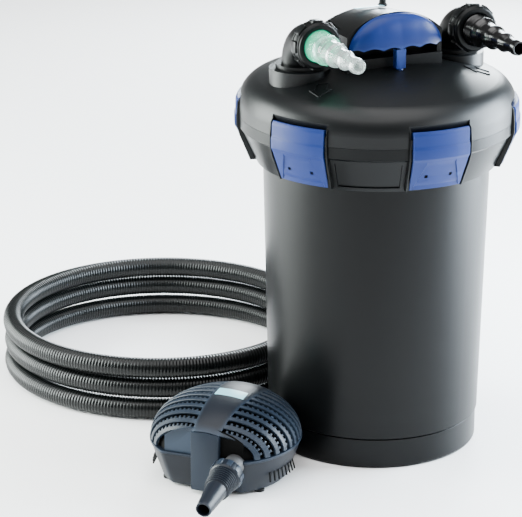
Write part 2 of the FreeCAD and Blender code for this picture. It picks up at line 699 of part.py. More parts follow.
def pump_drive():
    """Motor, volute with outlet pipe, shaft, bushes, rotor and impeller along the pump's length."""
    def along(name, radius, start, length, x="motor_place", height="motor_height"):
        return drum(name, radius, length, (x, start, height), ALONG_FRONT)

    bore = "impeller_rad + 2"
    keep(less("Motor", along("MotorCan", "motor_rad", 66, 86), along("MotorBore", 13, 60, 80.5)),
         "motor_housing", PUMP_PLACE)
    casing = [along("VoluteDrum", "volute_rad", -20, 28),
              along("OutletPipe", 14, -30, 73, "outlet_place", "outlet_height")]
    hollow = [along("VoluteHollow", bore, -19.9, 24),
              along("OutletHollow", 10, -24, 90, "outlet_place", "outlet_height")]
    keep(less("Volute", fused("Casing", casing), fused("CasingHollow", hollow)), "pump_volute",
         PUMP_PLACE)
    keep(along("Shaft", "shaft_rad", 59, 102), "rotor_shaft", PUMP_PLACE)
    bush = less("Bush", along("BushOuter", 7, 59.5, 5), along("BushBore", "shaft_rad", 60, 6))
    keep(bush, "shaft_bush", PUMP_PLACE)
    free = "shaft_rad + shaft_gap"
    keep(less("Magnet", along("MagnetOuter", 12, 53, 70), along("MagnetBore", free, 54, 72)),
         "rotor_magnet", PUMP_PLACE)
    blades = [along("Hub", 8, -18, 20), along("Disc", "impeller_rad", -22, 2.5)]
    for index in range(6):
        blade = block(f"Blade{index}", (6, 22, -1.2), ("impeller_rad - 7", 14, 2.4))
        turn = Rotation(Vector(0, 1, 0), 60 * index)
        middle = Vector(val("motor_place"), -val("impeller_rad") - 12, val("motor_height"))
        blade.Placement = Placement(middle, turn) * Placement(Vector(6, 0, -1.2), Rotation())
        blades.append(blade)
    hole = along("ImpellerBore", free, -10, 40)
    keep(less("Impeller", fused("ImpellerSolid", blades), hole), "impeller", PUMP_PLACE)


def pump_outlet():
    """Nut and tapered hose tail, drooping a little from the shell."""
    droop = Rotation(Vector(1, 0, 0), 90 + val("outlet_pitch"))
    root = Vector(val("outlet_place"), -101, val("outlet_height"))
    place = PUMP_PLACE * Placement(root, droop)
    body = new_body("pump_outlet_nut")
    turned(body, "PumpNut", [(14.6, 8), (21, 8), (22, 10), (22, 22), (20, 26), (14.6, 26)])
    rib = padded(body, "NutRib", outline(body, "NutRibOutline", box_points(
        21, -1.5, 23, 1.5), "XY_Plane", 10), 12)
    around_plan(body, "NutRibs", [rib], 16)
    keep(body, "pump_outlet_nut", place)
    body = new_body("pump_hose_tail")
    turned(body, "TailSteps", [
        (8, 6), (14.2, 6), (14.2, 27), (17, 27), (15.5, 52), (12.5, 54), (10, 101), (7, 101), (7, 60)])
    keep(body, "pump_hose_tail", place)


def pump_fittings():
    feet, screws = [], []
    for index, (x, y) in enumerate(((-66, -48), (66, -48), (-66, 48), (66, 48))):
        feet.append(drum(f"Foot{index}", 7, "pump_low", (x, y, 0)))
        screws.append(drum(f"PumpScrew{index}", 3, "pump_seam - pump_low - shell_wall",
                           (x, y, "pump_low + shell_wall")))
    keep(grouped("PumpFeet", feet), "pump_feet", PUMP_PLACE)
    keep(grouped("PumpScrews", screws), "pump_screws", PUMP_PLACE)
    band = less("PlateSkin", pump_dome("PlateOuter", -1.2), pump_dome("PlateInner", -0.1))
    made = doc.addObject("Part::Common", "Plate")
    made.Base, made.Tool = band, block("PlateCut", (-10, -17, 100), (41, 21, 30))
    keep(made, "pump_label_plate", PUMP_PLACE)


def hose_coil():
    """Outer shape of three stacked turns of hose."""
    body = new_body("hose_coil")
    middle = "(coil_out + coil_in)/2"
    turned(body, "Coil", [
        ("coil_in", 15), (f"{middle} - 4", 0), (f"{middle} + 4", 0), ("coil_out", 15),
        ("coil_out", "coil_high - 15"), (f"{middle} + 4", "coil_high"),
        (f"{middle} - 4", "coil_high"), ("coil_in", "coil_high - 15"),
    ])
    keep(body, "hose_coil", COIL_PLACE)


# ---------------------------------------------------------------- build, check and export

container()
collar_ring()
lid()
clamps()
ring("lid_seal", 171, 179, "flange_top", "lid_low")
elbows()
head_base()
head_housing()
head_rear_cover()
head_fittings()
core()
pull_handle()
pull_bar()
lift()
pump_lower_shell()
pump_upper_shell()
pump_drive()
pump_outlet()
pump_fittings()
hose_coil()
doc.recompute()

faults = [item.Name for item in doc.Objects if {"Invalid", "Error"} & set(item.State)]
for node in nodes:
    if node.Shape.isNull() or not node.Shape.isValid() or not node.Shape.Solids:
        faults.append(node.Label)
if faults:
    raise RuntimeError("failed objects: " + ", ".join(faults))
os.makedirs("parts", exist_ok=True)
for node in nodes:
    node.Shape.exportStep(f"parts/{node.Label}.step")
    print(f"{node.Label}: {len(node.Shape.Solids)} solid, {node.Shape.Volume / 1000:.1f} cm3")
print(len(nodes), "nodes")
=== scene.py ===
# %% [markdown]
# # A pond filter set: canister, pump and hose
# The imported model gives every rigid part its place. This script dresses it: moulded plastic, a clear hose
# tail, blue grips, a slotted pump shell and a coil of ribbed hose. Lengths are metres, the front is -Y.

# %% Load the frame
import math

import bmesh
import bpy
import numpy as np
from mathutils import Matrix, Vector


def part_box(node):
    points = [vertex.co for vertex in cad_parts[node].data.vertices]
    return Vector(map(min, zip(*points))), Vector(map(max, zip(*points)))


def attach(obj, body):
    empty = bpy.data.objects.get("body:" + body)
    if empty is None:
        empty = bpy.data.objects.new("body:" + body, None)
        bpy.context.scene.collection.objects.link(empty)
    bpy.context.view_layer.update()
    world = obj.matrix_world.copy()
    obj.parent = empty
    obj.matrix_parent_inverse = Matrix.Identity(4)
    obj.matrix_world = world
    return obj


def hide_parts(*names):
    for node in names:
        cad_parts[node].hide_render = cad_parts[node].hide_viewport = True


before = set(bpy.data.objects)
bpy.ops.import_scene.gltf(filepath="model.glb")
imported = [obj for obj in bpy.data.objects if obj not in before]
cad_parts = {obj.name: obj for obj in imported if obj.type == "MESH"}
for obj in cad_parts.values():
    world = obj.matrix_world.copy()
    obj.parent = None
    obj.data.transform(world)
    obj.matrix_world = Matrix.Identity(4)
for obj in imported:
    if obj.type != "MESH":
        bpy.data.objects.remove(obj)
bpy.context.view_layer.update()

MM = 0.001
print("CAD nodes:", len(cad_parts))

# %% [markdown]
# ## Camera
# A long lens far away keeps the canister's sides nearly parallel. It stands to the left of the front and
# looks down on the lid, so the grip, the elbows and the loose pump all show.

# %% Camera
CAMERA_PLACE = (-1.4903, -2.9564, 1.394)
CAMERA_TURN = math.radians(24)
CAMERA_TILT = math.radians(18.99)
CAMERA_LENS = 172.4
camera_data = bpy.data.cameras.new("Camera")
camera_data.lens = CAMERA_LENS
camera_data.clip_end = 50
camera = bpy.data.objects.new("Camera", camera_data)
bpy.context.scene.collection.objects.link(camera)
bpy.context.scene.camera = camera
camera.location = CAMERA_PLACE
looking = Vector((math.sin(CAMERA_TURN) * math.cos(CAMERA_TILT),
                  math.cos(CAMERA_TURN) * math.cos(CAMERA_TILT), -math.sin(CAMERA_TILT)))
camera.rotation_mode = "QUATERNION"
camera.rotation_quaternion = looking.to_track_quat("-Z", "Y")

# %% [markdown]
# ## Floor and light
# Black plastic shows its shape only by what it reflects, so large soft panels stand left, right and above,
# and the floor is nearly white.

# %% Floor and light
def new_object(name, data):
    made = bpy.data.objects.new(name, data)
    bpy.context.scene.collection.objects.link(made)
    return made


def panel_light(name, place, aim, size, power, colour):
    """A square soft light that points from a place to an aim."""
    data = bpy.data.lights.new(name, "AREA")
    data.shape = "RECTANGLE"
    data.size, data.size_y = size
    data.energy = power
    data.color = colour
    light = new_object(name, data)
    light.location = place
    direction = Vector(aim) - Vector(place)
    light.rotation_mode = "QUATERNION"
    light.rotation_quaternion = direction.to_track_quat("-Z", "Y")


CANISTER_MIDDLE = (0, 0, 0.3)
panel_light("left_panel", (-1.9, 1.1, 0.75), CANISTER_MIDDLE, (1.5, 1.5), 230, (0.92, 1.0, 0.97))
panel_light("right_panel", (1.45, -0.35, 0.62), CANISTER_MIDDLE, (1.1, 1.2), 210, (0.78, 0.90, 1.0))
panel_light("back_panel", (1.5, 2.2, 1.1), CANISTER_MIDDLE, (1.0, 1.0), 110, (0.86, 0.95, 1.0))
panel_light("front_panel", (1.3, -2.2, 1.7), CANISTER_MIDDLE, (0.8, 0.8), 22, (1.0, 1.0, 1.0))
overhead = bpy.data.lights.new("overhead", "SUN")
overhead.energy = 5.6
overhead.angle = math.radians(70)
overhead_light = new_object("overhead", overhead)
overhead_light.rotation_euler = (math.radians(8), math.radians(-6), 0)

floor_mesh = bpy.data.meshes.new("floor")
FLOOR_HALF = 20
floor_corners = [(x * FLOOR_HALF, y * FLOOR_HALF, 0) for x, y in ((-1, -1), (1, -1), (1, 1), (-1, 1))]
floor_mesh.from_pydata(floor_corners, [], [(0, 1, 2, 3)])
floor = new_object("floor", floor_mesh)

world = bpy.data.worlds.new("World")
bpy.context.scene.world = world
world.use_nodes = True
sky = world.node_tree.nodes["Background"]
sky.inputs["Color"].default_value = (1, 1, 1, 1)
sky.inputs["Strength"].default_value = 0.30
print("lights:", len(bpy.data.lights))

# %% [markdown]
# ## Finishes
# Every moulded part shares two effects, so both sit in one node group: a fine grain from the mould, and dust
# and handling marks that change the roughness over the surface. The Principled shader stays in each
# material.

# %% Shared effects
def group_with(name, inputs, outputs):
    """An empty shader group with named sockets; returns the tree and its two end nodes."""
    tree = bpy.data.node_groups.new(name, "ShaderNodeTree")
    for socket, kind, value in inputs:
        made = tree.interface.new_socket(name=socket, in_out="INPUT", socket_type=kind)
        made.default_value = value
    for socket, kind in outputs:
        tree.interface.new_socket(name=socket, in_out="OUTPUT", socket_type=kind)
    return tree, tree.nodes.new("NodeGroupInput"), tree.nodes.new("NodeGroupOutput")


def node_with(nodes, kind, **values):
    """A new node with fixed inputs; an underscore stands for the space in a socket's name."""
    made = nodes.new(kind)
    for socket, value in values.items():
        made.inputs[socket.replace("_", " ")].default_value = value
    return made


def blended(nodes, links, factor, first=None, second=None):
    """A mix of two colours by a factor; a colour left out is linked afterwards."""
    blend = nodes.new("ShaderNodeMix")
    blend.data_type = "RGBA"
    links.new(factor, blend.inputs["Factor"])
    for socket, colour in (("A", first), ("B", second)):
        if colour:
            blend.inputs[socket].default_value = (*colour, 1)
    return blend


def moulded_grain():
    """Fine mould grain as a normal, and a slow change of roughness and shade."""
    tree, entry, leave = group_with("MouldedGrain", [
        ("Grain Scale", "NodeSocketFloat", 1500.0), ("Grain Depth", "NodeSocketFloat", 0.15),
        ("Roughness", "NodeSocketFloat", 0.35), ("Roughness Spread", "NodeSocketFloat", 0.08),
        ("Colour", "NodeSocketColor", (0.02, 0.02, 0.02, 1)),
        ("Worn Colour", "NodeSocketColor", (0.05, 0.05, 0.05, 1)),
        ("Wear", "NodeSocketFloat", 0.25)], [
        ("Colour", "NodeSocketColor"), ("Roughness", "NodeSocketFloat"),
        ("Normal", "NodeSocketVector")])
    nodes, links = tree.nodes, tree.links
    place = nodes.new("ShaderNodeTexCoord")
    grain = node_with(nodes, "ShaderNodeTexNoise", Detail=3)
    links.new(place.outputs["Object"], grain.inputs["Vector"])
    links.new(entry.outputs["Grain Scale"], grain.inputs["Scale"])
    bump = node_with(nodes, "ShaderNodeBump", Distance=0.0003)
    links.new(entry.outputs["Grain Depth"], bump.inputs["Strength"])
    links.new(grain.outputs["Fac"], bump.inputs["Height"])
    links.new(bump.outputs["Normal"], leave.inputs["Normal"])
    cloud = node_with(nodes, "ShaderNodeTexNoise", Scale=14, Detail=6)
    links.new(place.outputs["Object"], cloud.inputs["Vector"])
    spread = nodes.new("ShaderNodeMath")
    spread.operation = "MULTIPLY_ADD"
    links.new(cloud.outputs["Fac"], spread.inputs[0])
    links.new(entry.outputs["Roughness Spread"], spread.inputs[1])
    links.new(entry.outputs["Roughness"], spread.inputs[2])
    links.new(spread.outputs[0], leave.inputs["Roughness"])
    edge = nodes.new("ShaderNodeNewGeometry")
    ridge = node_with(nodes, "ShaderNodeMapRange", From_Min=0.52, From_Max=0.64)
    links.new(edge.outputs["Pointiness"], ridge.inputs["Value"])
    amount = nodes.new("ShaderNodeMath")
    amount.operation = "MULTIPLY"
    links.new(ridge.outputs["Result"], amount.inputs[0])
    links.new(entry.outputs["Wear"], amount.inputs[1])
    blend = blended(nodes, links, amount.outputs[0])
    links.new(entry.outputs["Colour"], blend.inputs["A"])
    links.new(entry.outputs["Worn Colour"], blend.inputs["B"])
    links.new(blend.outputs["Result"], leave.inputs["Colour"])
    return tree


GRAIN = moulded_grain()
print("shared effect nodes:", len(GRAIN.nodes))

# %% [markdown]
# ## Materials
# Most of the set is moulded plastic: satin black for shells, blue for what the hand moves. Rubber, foam,
# steel and quartz are for the pieces inside, which show when the part is taken apart.

# %% Material makers
def new_material(name):
    made = bpy.data.materials.new(name)
    made.use_nodes = True
    return made, made.node_tree.nodes, made.node_tree.links


def moulded(name, colour, worn, roughness, spread=0.08, grain=1500, depth=0.12, wear=0.25,
            sheen=0.5):
    """Moulded plastic or rubber: the shared grain feeding one Principled shader."""
    made, nodes, links = new_material(name)
    shader = nodes["Principled BSDF"]
    effect = nodes.new("ShaderNodeGroup")
    effect.node_tree = GRAIN
    for socket, value in (("Grain Scale", grain), ("Grain Depth", depth), ("Roughness", roughness),
                          ("Roughness Spread", spread), ("Colour", (*colour, 1)),
                          ("Worn Colour", (*worn, 1)), ("Wear", wear)):
        effect.inputs[socket].default_value = value
    links.new(effect.outputs["Colour"], shader.inputs["Base Color"])
    links.new(effect.outputs["Roughness"], shader.inputs["Roughness"])
    links.new(effect.outputs["Normal"], shader.inputs["Normal"])
    shader.inputs["Specular IOR Level"].default_value = sheen
    return made


SHELL_BLACK = moulded("satin_black_shell", (0.0016, 0.0019, 0.0021), (0.015, 0.017, 0.018), 0.27,
                      depth=0.05, sheen=0.13)
LID_BLACK = moulded("lid_black", (0.0018, 0.0024, 0.0028), (0.015, 0.018, 0.020), 0.34, sheen=0.24)
GLOSS_BLACK = moulded("gloss_black", (0.0012, 0.0012, 0.0014), (0.01, 0.01, 0.01), 0.16, depth=0.02,
                      sheen=0.4)
# painted shade: a dull near-black finish for the inside of the pump, its right front niche and its side
# slots, where shade falls
SHADE_BLACK = moulded("painted_shade_black", (0.001, 0.001, 0.001), (0.004, 0.004, 0.004), 0.6, sheen=0.05)
GRIP_BLUE = moulded("grip_blue", (0.004, 0.017, 0.110), (0.04, 0.09, 0.30), 0.38, wear=0.35, sheen=0.20)
PUMP_GREY = moulded("pump_blue_grey", (0.0022, 0.0042, 0.0085), (0.035, 0.055, 0.085), 0.36, wear=0.6,
                    sheen=0.20)
RUBBER = moulded("black_rubber", (0.004, 0.004, 0.004), (0.01, 0.01, 0.01), 0.7, sheen=0.2)
INNER_PLASTIC = moulded("inner_plastic", (0.02, 0.02, 0.022), (0.05, 0.05, 0.05), 0.5)
HOSE_BLACK = moulded("hose_black", (0.0014, 0.0019, 0.0019), (0.012, 0.016, 0.017), 0.25, grain=900,
                     depth=0.04, wear=0.5, sheen=0.22)
LABEL_BLANK = moulded("blank_label", (0.22, 0.55, 0.66), (0.7, 0.85, 0.9), 0.25, grain=500, depth=0.03)
FOAM_BLUE = moulded("open_foam", (0.05, 0.10, 0.30), (0.10, 0.18, 0.42), 0.9, grain=260, depth=1.0)


def bright_metal(name, colour, roughness):
    """Brushed metal: fine streaks in the roughness only."""
    made, nodes, links = new_material(name)
    shader = nodes["Principled BSDF"]
    shader.inputs["Base Color"].default_value = (*colour, 1)
    shader.inputs["Metallic"].default_value = 1
    place = nodes.new("ShaderNodeTexCoord")
    brushed = node_with(nodes, "ShaderNodeTexNoise", Scale=900)
    levels = node_with(nodes, "ShaderNodeMapRange", To_Min=roughness, To_Max=roughness + 0.2)
    links.new(place.outputs["Object"], brushed.inputs["Vector"])
    links.new(brushed.outputs["Fac"], levels.inputs["Value"])
    links.new(levels.outputs["Result"], shader.inputs["Roughness"])
    return made


def see_through(name, colour, roughness, glow_span):
    """Clear moulding with painted light: a faint painted glow all over, and a green painted glow towards the
    nut, where the lamp's light comes through.
    """
    made, nodes, links = new_material(name)
    shader = nodes["Principled BSDF"]
    shader.inputs["Transmission Weight"].default_value = 0.93
    shader.inputs["IOR"].default_value = 1.49
    place = nodes.new("ShaderNodeTexCoord")
    split = nodes.new("ShaderNodeSeparateXYZ")
    links.new(place.outputs["Object"], split.inputs["Vector"])
    # painted light: the base colour turns green towards the nut as the lamp's glow
    levels = node_with(nodes, "ShaderNodeMapRange", From_Min=glow_span[0], From_Max=glow_span[1])
    links.new(split.outputs["Y"], levels.inputs["Value"])
    blend = blended(nodes, links, levels.outputs["Result"], colour, (0.30, 0.95, 0.72))
    links.new(blend.outputs["Result"], shader.inputs["Base Color"])
    cloud = node_with(nodes, "ShaderNodeTexNoise", Scale=60)
    haze = node_with(nodes, "ShaderNodeMapRange", To_Min=roughness, To_Max=roughness + 0.12)
    links.new(place.outputs["Object"], cloud.inputs["Vector"])
    links.new(cloud.outputs["Fac"], haze.inputs["Value"])
    links.new(haze.outputs["Result"], shader.inputs["Roughness"])
    # painted light: emission paints a faint glow all over and the lamp's green glow towards the nut
    glow = blended(nodes, links, levels.outputs["Result"], (0.06, 0.075, 0.075), (0.01, 0.30, 0.17))
    links.new(glow.outputs["Result"], shader.inputs["Emission Color"])
    shader.inputs["Emission Strength"].default_value = 1.0
    return made


STEEL = bright_metal("bright_steel", (0.62, 0.62, 0.62), 0.2)
CERAMIC = moulded("ceramic", (0.75, 0.73, 0.68), (0.8, 0.8, 0.8), 0.2, depth=0.02)
# painted light: the sleeve, and the lamp in it, get the faint painted glow; the green range at 5 to 6 m lies
# beyond them
QUARTZ = see_through("quartz", (0.95, 0.98, 1.0), 0.02, (5, 6))
# painted light: the tail's green painted glow fades in from 50 mm to 8 mm short of its flange end, at the
# nut
TAIL_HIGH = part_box("outlet_hose_tail")[1]
CLEAR_TAIL = see_through("clear_tail", (0.93, 0.98, 0.96), 0.06,
                         (TAIL_HIGH.y - 0.050, TAIL_HIGH.y - 0.008))
print("materials:", len(bpy.data.materials))

# %% [markdown]
# ## Floor finish
# A pale matt floor throws soft light back up on the black walls.

# %% Floor finish
floor_material, floor_nodes, floor_links = new_material("pale_floor")
floor_shader = floor_nodes["Principled BSDF"]
floor_shader.inputs["Base Color"].default_value = (0.93, 0.93, 0.93, 1)
floor_shader.inputs["Roughness"].default_value = 0.6
floor_mesh.materials.append(floor_material)

# %% [markdown]
# ## Finish of each CAD part
# Parts keep their CAD shape where no finer mesh replaces them, so each gets its finish by name. What no
# name covers is plain inner plastic.

# %% Finish of each CAD part
FINISHES = {
    "container": SHELL_BLACK, "collar_ring": SHELL_BLACK, "lid": LID_BLACK, "head_base": SHELL_BLACK,
    "head_housing": SHELL_BLACK, "head_rear_cover": SHELL_BLACK, "cable_gland": RUBBER,
    "head_label_plate": LABEL_BLANK, "pump_label_plate": LABEL_BLANK, "pump_feet": RUBBER,
    "pump_outlet_nut": PUMP_GREY, "pump_hose_tail": PUMP_GREY, "pump_lower_shell": PUMP_GREY,
    "pump_upper_shell": PUMP_GREY, "pull_bar": GRIP_BLUE, "pull_handle": GRIP_BLUE,
    "outlet_hose_tail": CLEAR_TAIL, "quartz_sleeve": QUARTZ, "uvc_lamp": QUARTZ,
    "rotor_shaft": CERAMIC, "shaft_bush": CERAMIC, "tie_rods": STEEL, "clamp_pins": STEEL,
    "head_screws": STEEL, "pump_screws": STEEL,
}
for word, finish in (("clamp_", GRIP_BLUE), ("foam_ring", FOAM_BLUE), ("seal", RUBBER),
                     ("gasket", RUBBER), ("elbow", SHELL_BLACK), ("union_nut", SHELL_BLACK)):
    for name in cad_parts:
        if word in name and name not in FINISHES:
            FINISHES[name] = finish
for name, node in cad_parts.items():
    node.data.materials.clear()
    node.data.materials.append(FINISHES.get(name, INNER_PLASTIC))
print("finished CAD nodes:", len(FINISHES))

# %% [markdown]
# ## Mesh helpers
# Three small makers cover most pieces: a closed piece from points and faces, a turned piece, and a skin
# stretched over rows of points. Each piece gets its body and finish when it is made.

# %% Mesh helpers
def finish_piece(made, body, slot, material, replaced=(), crease=32):
    """Clean a new mesh, shade it smooth up to a crease angle, and attach it to its body."""
    work = bmesh.new()
    work.from_mesh(made.data)
    bmesh.ops.remove_doubles(work, verts=work.verts, dist=2e-6)
    bmesh.ops.dissolve_degenerate(work, dist=1e-7, edges=work.edges)
    bmesh.ops.recalc_face_normals(work, faces=work.faces)
    work.to_mesh(made.data)
    work.free()
    made.data.polygons.foreach_set("use_smooth", [True] * len(made.data.polygons))
    made.data.set_sharp_from_angle(angle=math.radians(crease))
    made.data.materials.clear()
    made.data.materials.append(material)
    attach(made, body)
    if replaced:
        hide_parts(*replaced)
    return made


def mesh_piece(name, points, faces, body, slot, material, replaced=(), crease=32):
    mesh = bpy.data.meshes.new(name)
    mesh.from_pydata([tuple(point) for point in points], [], faces)
    return finish_piece(new_object(name, mesh), body, slot, material, replaced, crease)


def grid_faces(rows, columns, wrap_rows=False, wrap_columns=False, start=0):
    """Quads over a grid of points stored row by row."""
    faces = []
    for row in range(rows if wrap_rows else rows - 1):
        for column in range(columns if wrap_columns else columns - 1):
            below, beside = (row + 1) % rows, (column + 1) % columns
            faces.append((start + row * columns + column, start + row * columns + beside,
                          start + below * columns + beside, start + below * columns + column))
    return faces


def turned(profile, place=Matrix.Identity(4), sides=96):
    """Points and faces of an outline (radius, height) turned about the local Z axis, closed on itself."""
    points = []
    for radius, height in profile:
        for side in range(sides):
            angle = 2 * math.pi * side / sides
            points.append(place @ Vector((radius * math.cos(angle), radius * math.sin(angle), height)))
    return points, grid_faces(len(profile), sides, wrap_rows=True, wrap_columns=True)


def rounded(outline, radius, steps=4):
    """The corners of a closed outline eased by short arcs, so that edges catch the light."""
    eased, count = [], len(outline)
    for index in range(count):
        corner = Vector(outline[index])
        before, after = Vector(outline[index - 1]) - corner, Vector(outline[(index + 1) % count]) - corner
        reach = min(radius, before.length * 0.45, after.length * 0.45)
        first, last = corner + before.normalized() * reach, corner + after.normalized() * reach
        for step in range(steps + 1):
            t = step / steps
            eased.append(first * (1 - t) ** 2 + corner * 2 * t * (1 - t) + last * t ** 2)
    return eased


def mesh_of(name, work):
    """The mesh that a bmesh holds; the bmesh is freed."""
    mesh = bpy.data.meshes.new(name)
    work.to_mesh(mesh)
    work.free()
    return mesh


def block_mesh(name, size, ease):
    """A small block with eased edges, centred on the origin, for repeating."""
    work = bmesh.new()
    bmesh.ops.create_cube(work, size=1, matrix=Matrix.Diagonal((*size, 1)))
    bmesh.ops.bevel(work, geom=work.edges, offset=ease, segments=2, affect="EDGES", profile=0.5)
    return mesh_of(name, work)


def facing(along, across, out):
    """The turn that lays local X, Y and Z along three directions."""
    return Matrix((along, across, out)).transposed().to_4x4()


# %% [markdown]
# ## Repeating small shapes
# Lugs, comb teeth, slots and guard ribs all repeat. One Geometry Nodes tree places a master shape on points
# that carry their own turn, then makes the copies real.

# %% Geometry Nodes: a master shape on turned points
def repeat_tree():
    """Instance a master object on points, turned and stretched by two attributes, then realised."""
    tree = bpy.data.node_groups.new("RepeatOnPoints", "GeometryNodeTree")
    tree.interface.new_socket(name="Geometry", in_out="INPUT", socket_type="NodeSocketGeometry")
    tree.interface.new_socket(name="Master", in_out="INPUT", socket_type="NodeSocketObject")
    size = tree.interface.new_socket(name="Size", in_out="INPUT", socket_type="NodeSocketFloat")
    size.default_value = 1.0
    tree.interface.new_socket(name="Finish", in_out="INPUT", socket_type="NodeSocketMaterial")
    tree.interface.new_socket(name="Geometry", in_out="OUTPUT", socket_type="NodeSocketGeometry")
    nodes, links = tree.nodes, tree.links
    entry, leave = nodes.new("NodeGroupInput"), nodes.new("NodeGroupOutput")
    master = nodes.new("GeometryNodeObjectInfo")
    turn = node_with(nodes, "GeometryNodeInputNamedAttribute")
    stretch = node_with(nodes, "GeometryNodeInputNamedAttribute")
    for attribute, name in ((turn, "turn"), (stretch, "stretch")):
        attribute.data_type = "FLOAT_VECTOR"
        attribute.inputs["Name"].default_value = name
    sized = nodes.new("ShaderNodeVectorMath")
    sized.operation = "SCALE"
    to_turn = nodes.new("FunctionNodeEulerToRotation")
    place = nodes.new("GeometryNodeInstanceOnPoints")
    real = nodes.new("GeometryNodeRealizeInstances")
    paint = nodes.new("GeometryNodeSetMaterial")
    links.new(entry.outputs["Geometry"], place.inputs["Points"])
    links.new(entry.outputs["Master"], master.inputs["Object"])
    links.new(master.outputs["Geometry"], place.inputs["Instance"])
    links.new(turn.outputs["Attribute"], to_turn.inputs["Euler"])
    links.new(to_turn.outputs["Rotation"], place.inputs["Rotation"])
    links.new(stretch.outputs["Attribute"], sized.inputs[0])
    links.new(entry.outputs["Size"], sized.inputs["Scale"])
    links.new(sized.outputs["Vector"], place.inputs["Scale"])
    links.new(place.outputs["Instances"], real.inputs["Geometry"])
    links.new(real.outputs["Geometry"], paint.inputs["Geometry"])
    links.new(entry.outputs["Finish"], paint.inputs["Material"])
    links.new(paint.outputs["Geometry"], leave.inputs["Geometry"])
    return tree


REPEAT = repeat_tree()


def set_inputs(modifier, **values):
    """Give a Geometry Nodes modifier its inputs by their names."""
    for item in modifier.node_group.interface.items_tree:
        if item.in_out == "INPUT" and item.name in values:
            modifier[item.identifier] = values[item.name]


def baked(host, name):
    """The evaluated result of a host's modifiers as a plain object; the host is removed."""
    bpy.context.view_layer.update()
    graph = bpy.context.evaluated_depsgraph_get()
    mesh = bpy.data.meshes.new_from_object(host.evaluated_get(graph))
    bpy.data.objects.remove(host)
    return new_object(name, mesh)


def repeated(name, master_mesh, places, body, slot, material, crease=32):
    """Copies of a master mesh at each 4x4 place, made by the tree and turned into one plain mesh."""
    seeds = bpy.data.meshes.new(name + "_seeds")
    seeds.from_pydata([place.to_translation() for place in places], [], [])
    turn = seeds.attributes.new("turn", "FLOAT_VECTOR", "POINT")
    stretch = seeds.attributes.new("stretch", "FLOAT_VECTOR", "POINT")
    for index, place in enumerate(places):
        turn.data[index].vector = place.to_euler()
        stretch.data[index].vector = place.to_scale()
    host = new_object(name + "_host", seeds)
    master = new_object(name + "_master", master_mesh)
    modifier = host.modifiers.new("repeat", "NODES")
    modifier.node_group = REPEAT
    set_inputs(modifier, Master=master, Size=1.0, Finish=material)
    made = baked(host, name)
    bpy.data.objects.remove(master)
    return finish_piece(made, body, slot, material, crease=crease)

# %% [markdown]
# ## Hose
# Pond hose is a thin wall with a stiff spiral, so it keeps a round coil and shows close ribs. Its line is
# one NURBS spline of three turns, each flat on the one below and climbing behind the canister.

# %% Hose route
HOSE_ACROSS = 0.030
coil_low, coil_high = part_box("hose_coil")
coil_middle = (coil_low + coil_high) / 2
COIL_OUT = (coil_high.x - coil_low.x) / 2
HOSE_RADIUS = COIL_OUT - HOSE_ACROSS / 2 - 0.002
CLIMB_FROM, CLIMB_TO = -71, 23       # degrees about the coil, behind the canister
HOSE_START, HOSE_END = -8, 1060       # degrees, both ends behind the canister
ROUTE_STEP = 10                      # degrees from one spline point to the next
LEVEL = 0.0312                       # from one turn up to the next


def hose_height(angle):
    """Flat on its own level, with a smooth climb to the next level inside the hidden window."""
    turns, height = 0, 0.0
    while CLIMB_FROM + 360 * (turns + 1) < angle:
        start, end = CLIMB_FROM + 360 * (turns + 1), CLIMB_TO + 360 * (turns + 1)
        share = min((angle - start) / (end - start), 1)
        height += share * share * (3 - 2 * share)
        turns += 1
    return HOSE_ACROSS / 2 + 0.0004 + LEVEL * height


def hose_point(angle):
    """A little out of round, and each turn a little aside from the last, as a loose coil lies."""
    turn = math.radians(angle)
    level = (angle - CLIMB_FROM) / 360 - 1
    sway = 0.0035 * math.sin(turn + 1.1 * level) * math.sin(1.7 * level + 0.4)
    radius = HOSE_RADIUS - 0.003 + sway - 0.002 * math.sin(2 * turn)
    return (coil_middle.x + radius * math.cos(turn), coil_middle.y + radius * math.sin(turn),
            hose_height(angle))


def nurbs_line(name, points):
    data = bpy.data.curves.new(name, "CURVE")
    data.dimensions = "3D"
    spline = data.splines.new("NURBS")
    spline.points.add(len(points) - 1)
    for place, point in zip(spline.points, points):
        place.co = (*point, 1)
    spline.order_u = 3
    spline.use_endpoint_u = True
    data.resolution_u = 8
    return new_object(name, data)


route = [hose_point(angle) for angle in range(HOSE_START, HOSE_END + 1, ROUTE_STEP)]
line = nurbs_line("hose_line", route)
graph = bpy.context.evaluated_depsgraph_get()
line_mesh = bpy.data.meshes.new_from_object(line.evaluated_get(graph))
hose_path = [Vector(vertex.co) for vertex in line_mesh.vertices]

# %% [markdown]
# ## Ribbed tube
# The hose is extruded over a spiral of stiff plastic, which stands out as close ribs. Rings of points follow
# the route and swell where the spiral passes. Both ends are cut bare and show the wall's thickness.

# %% Ribbed tube along the route
RIB_PITCH, RIB_DEPTH, RIB_STEPS, HOSE_SIDES = 0.0046, 0.0009, 5, 16
BORE_SHARE, BORE_DEPTH = 0.86, 0.02


def resampled(points, spacing):
    """Evenly spaced points along a polyline, its ends kept."""
    lengths = [0.0]
    for a, b in zip(points, points[1:]):
        lengths.append(lengths[-1] + (b - a).length)
    count = int(round(lengths[-1] / spacing))
    table = np.array([tuple(point) for point in points])
    wanted = np.linspace(0, lengths[-1], count + 1)
    return np.stack([np.interp(wanted, lengths, table[:, axis]) for axis in range(3)], axis=1)


